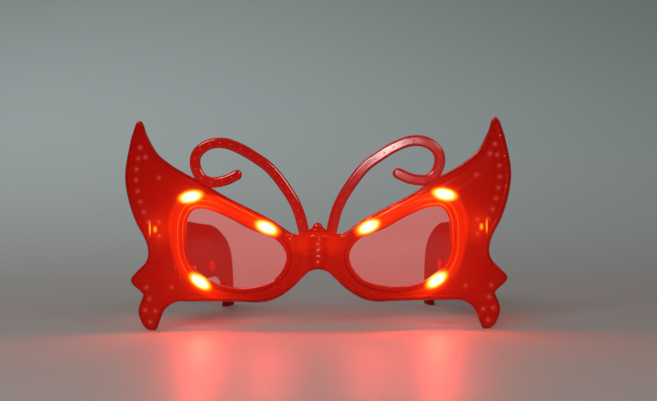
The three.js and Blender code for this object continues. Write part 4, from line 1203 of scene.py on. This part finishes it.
# The doors of the cell boxes, each with its screw.
# A door closes the inner face of the box. It has grip lines, a sunk screw and a hole for the
# button.
DOOR_FIT = 0.1
DOOR_FACE, DOOR_BACK = -ARM_FACE - 0.05, -0.1
BUTTON_HOLE, SCREW_SINK, SCREW_SINK_FLOOR = 2.8, 2.2, -0.9
GRIP_START, GRIP_PITCH, GRIP_WIDTH, GRIP_LINES = 57, 1.6, 0.7, 5
GRIP_BOTTOM, GRIP_TOP = 32.0, 37.5
SCREW_HEAD, SCREW_SHANK, SCREW_END = 1.9, 0.9, 4.9
CROSS_HALF, CROSS_REACH = 0.25, 1.1


def tinted(material, name, colour):
    """A copy of a finish in another colour."""
    copy = material.copy()
    copy.name = name
    set_sockets(copy.node_tree.nodes["Principled BSDF"], {"Base Color": colour})
    return copy


door_plastic = tinted(dark_plastic, "door_red_plastic", (0.07, 0.002, 0.0015, 1))
cross_quarter = [(CROSS_HALF, CROSS_HALF), (CROSS_REACH, CROSS_HALF), (CROSS_REACH, -CROSS_HALF)]
cross = []
for turn in range(4):
    cross += [(SCREW_AT[0] + u, SCREW_AT[1] + v) for u, v in cross_quarter]
    cross_quarter = [(v, -u) for u, v in cross_quarter]
for name, side in SIDES:
    door = bmesh.new()
    put_outline(
        door, box_outline(DOOR_LEDGE + DOOR_FIT), DOOR_FACE, DOOR_BACK, 0.3, along_x,
        holes=[round_hole(BUTTON_AT, BUTTON_HOLE)],
        pockets=[(round_hole(SCREW_AT, SCREW_SINK), SCREW_SINK_FLOOR)],
    )
    for k in range(GRIP_LINES):
        at = GRIP_START + k * GRIP_PITCH
        line = ribbon([(at, GRIP_BOTTOM), (at, GRIP_TOP)], GRIP_WIDTH)
        put_outline(door, line, -ARM_FACE - 0.35, -ARM_FACE + 0.1, 0.15, along_x)
    lean_out(door, side)
    cover = f"battery_cover_{name}"
    make_piece(door, f"battery_door_{name}", door_plastic, f"arm_{name}", [cover])
    screw = bmesh.new()
    cross_cut = [(cross, -ARM_FACE + 0.4)]
    head = round_hole(SCREW_AT, SCREW_HEAD)
    put_outline(screw, head, -ARM_FACE, -ARM_FACE + 0.6, 0.25, along_x, pockets=cross_cut)
    shank = round_hole(SCREW_AT, SCREW_SHANK)
    put_outline(screw, shank, -ARM_FACE + 0.5, SCREW_END, 0.2, along_x)
    lean_out(screw, side)
    make_piece(screw, f"door_screw_{name}", steel, f"arm_{name}", [f"cover_screw_{name}"])

# The push buttons.
# A small red cap with a dished top. It slides in the door's hole and presses the switch.
button_profile = [
    (0, -2.3), (1.6, -2.42), (2.2, -2.5), (2.42, -2.4), (2.5, -2.15), (2.5, 0.2), (3.2, 0.2),
    (3.2, 1.0), (0.9, 1.0), (0.9, 1.8), (0, 1.8),
]
button_plastic = tinted(dark_plastic, "button_red_plastic", (0.4, 0.012, 0.008, 1))
for name, side in SIDES:
    button = bmesh.new()
    turn_profile(button, button_profile, 32)
    lie = Matrix.Translation((0, *BUTTON_AT)) @ Matrix.Rotation(math.pi / 2, 4, "Y")
    bmesh.ops.transform(button, matrix=lie, verts=button.verts[:])
    lean_out(button, side)
    pushed = f"push_button_{name}"
    make_piece(button, f"button_{name}_cap", button_plastic, f"button_{name}", [pushed])

# The pieces inside the boxes and the leads.
# Nickel-plated cells between sprung steel contacts, a green board with the flasher under a black
# blob, and a black switch. The leads are black and stranded.
cell_steel = tinted(steel, "cell_nickel", (0.7, 0.7, 0.7, 1))
board_green = new_finish("board_green", {"Base Color": (0.03, 0.16, 0.06, 1), "Roughness": 0.4})
add_marks(board_green, 300, 2000, 0.2)
black_resin = new_finish("black_resin", {"Base Color": (0.012, 0.012, 0.012, 1), "Roughness": 0.35})
add_marks(black_resin, 300, 2000, 0.3)
black_lead = new_finish("black_lead", {"Base Color": (0.02, 0.018, 0.018, 1), "Roughness": 0.5})
add_marks(black_lead, 500, 2500, 0.3)
CAD_FINISHES = {
    "button_cell": cell_steel, "contact": steel, "circuit_board": board_green,
    "switch": black_resin, "flasher_chip": black_resin, "frame_wire": black_lead,
    "temple_wire": black_lead,
}
for label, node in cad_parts.items():
    for start, finish in CAD_FINISHES.items():
        if label.startswith(start):
            node.data.materials.clear()
            node.data.materials.append(finish)
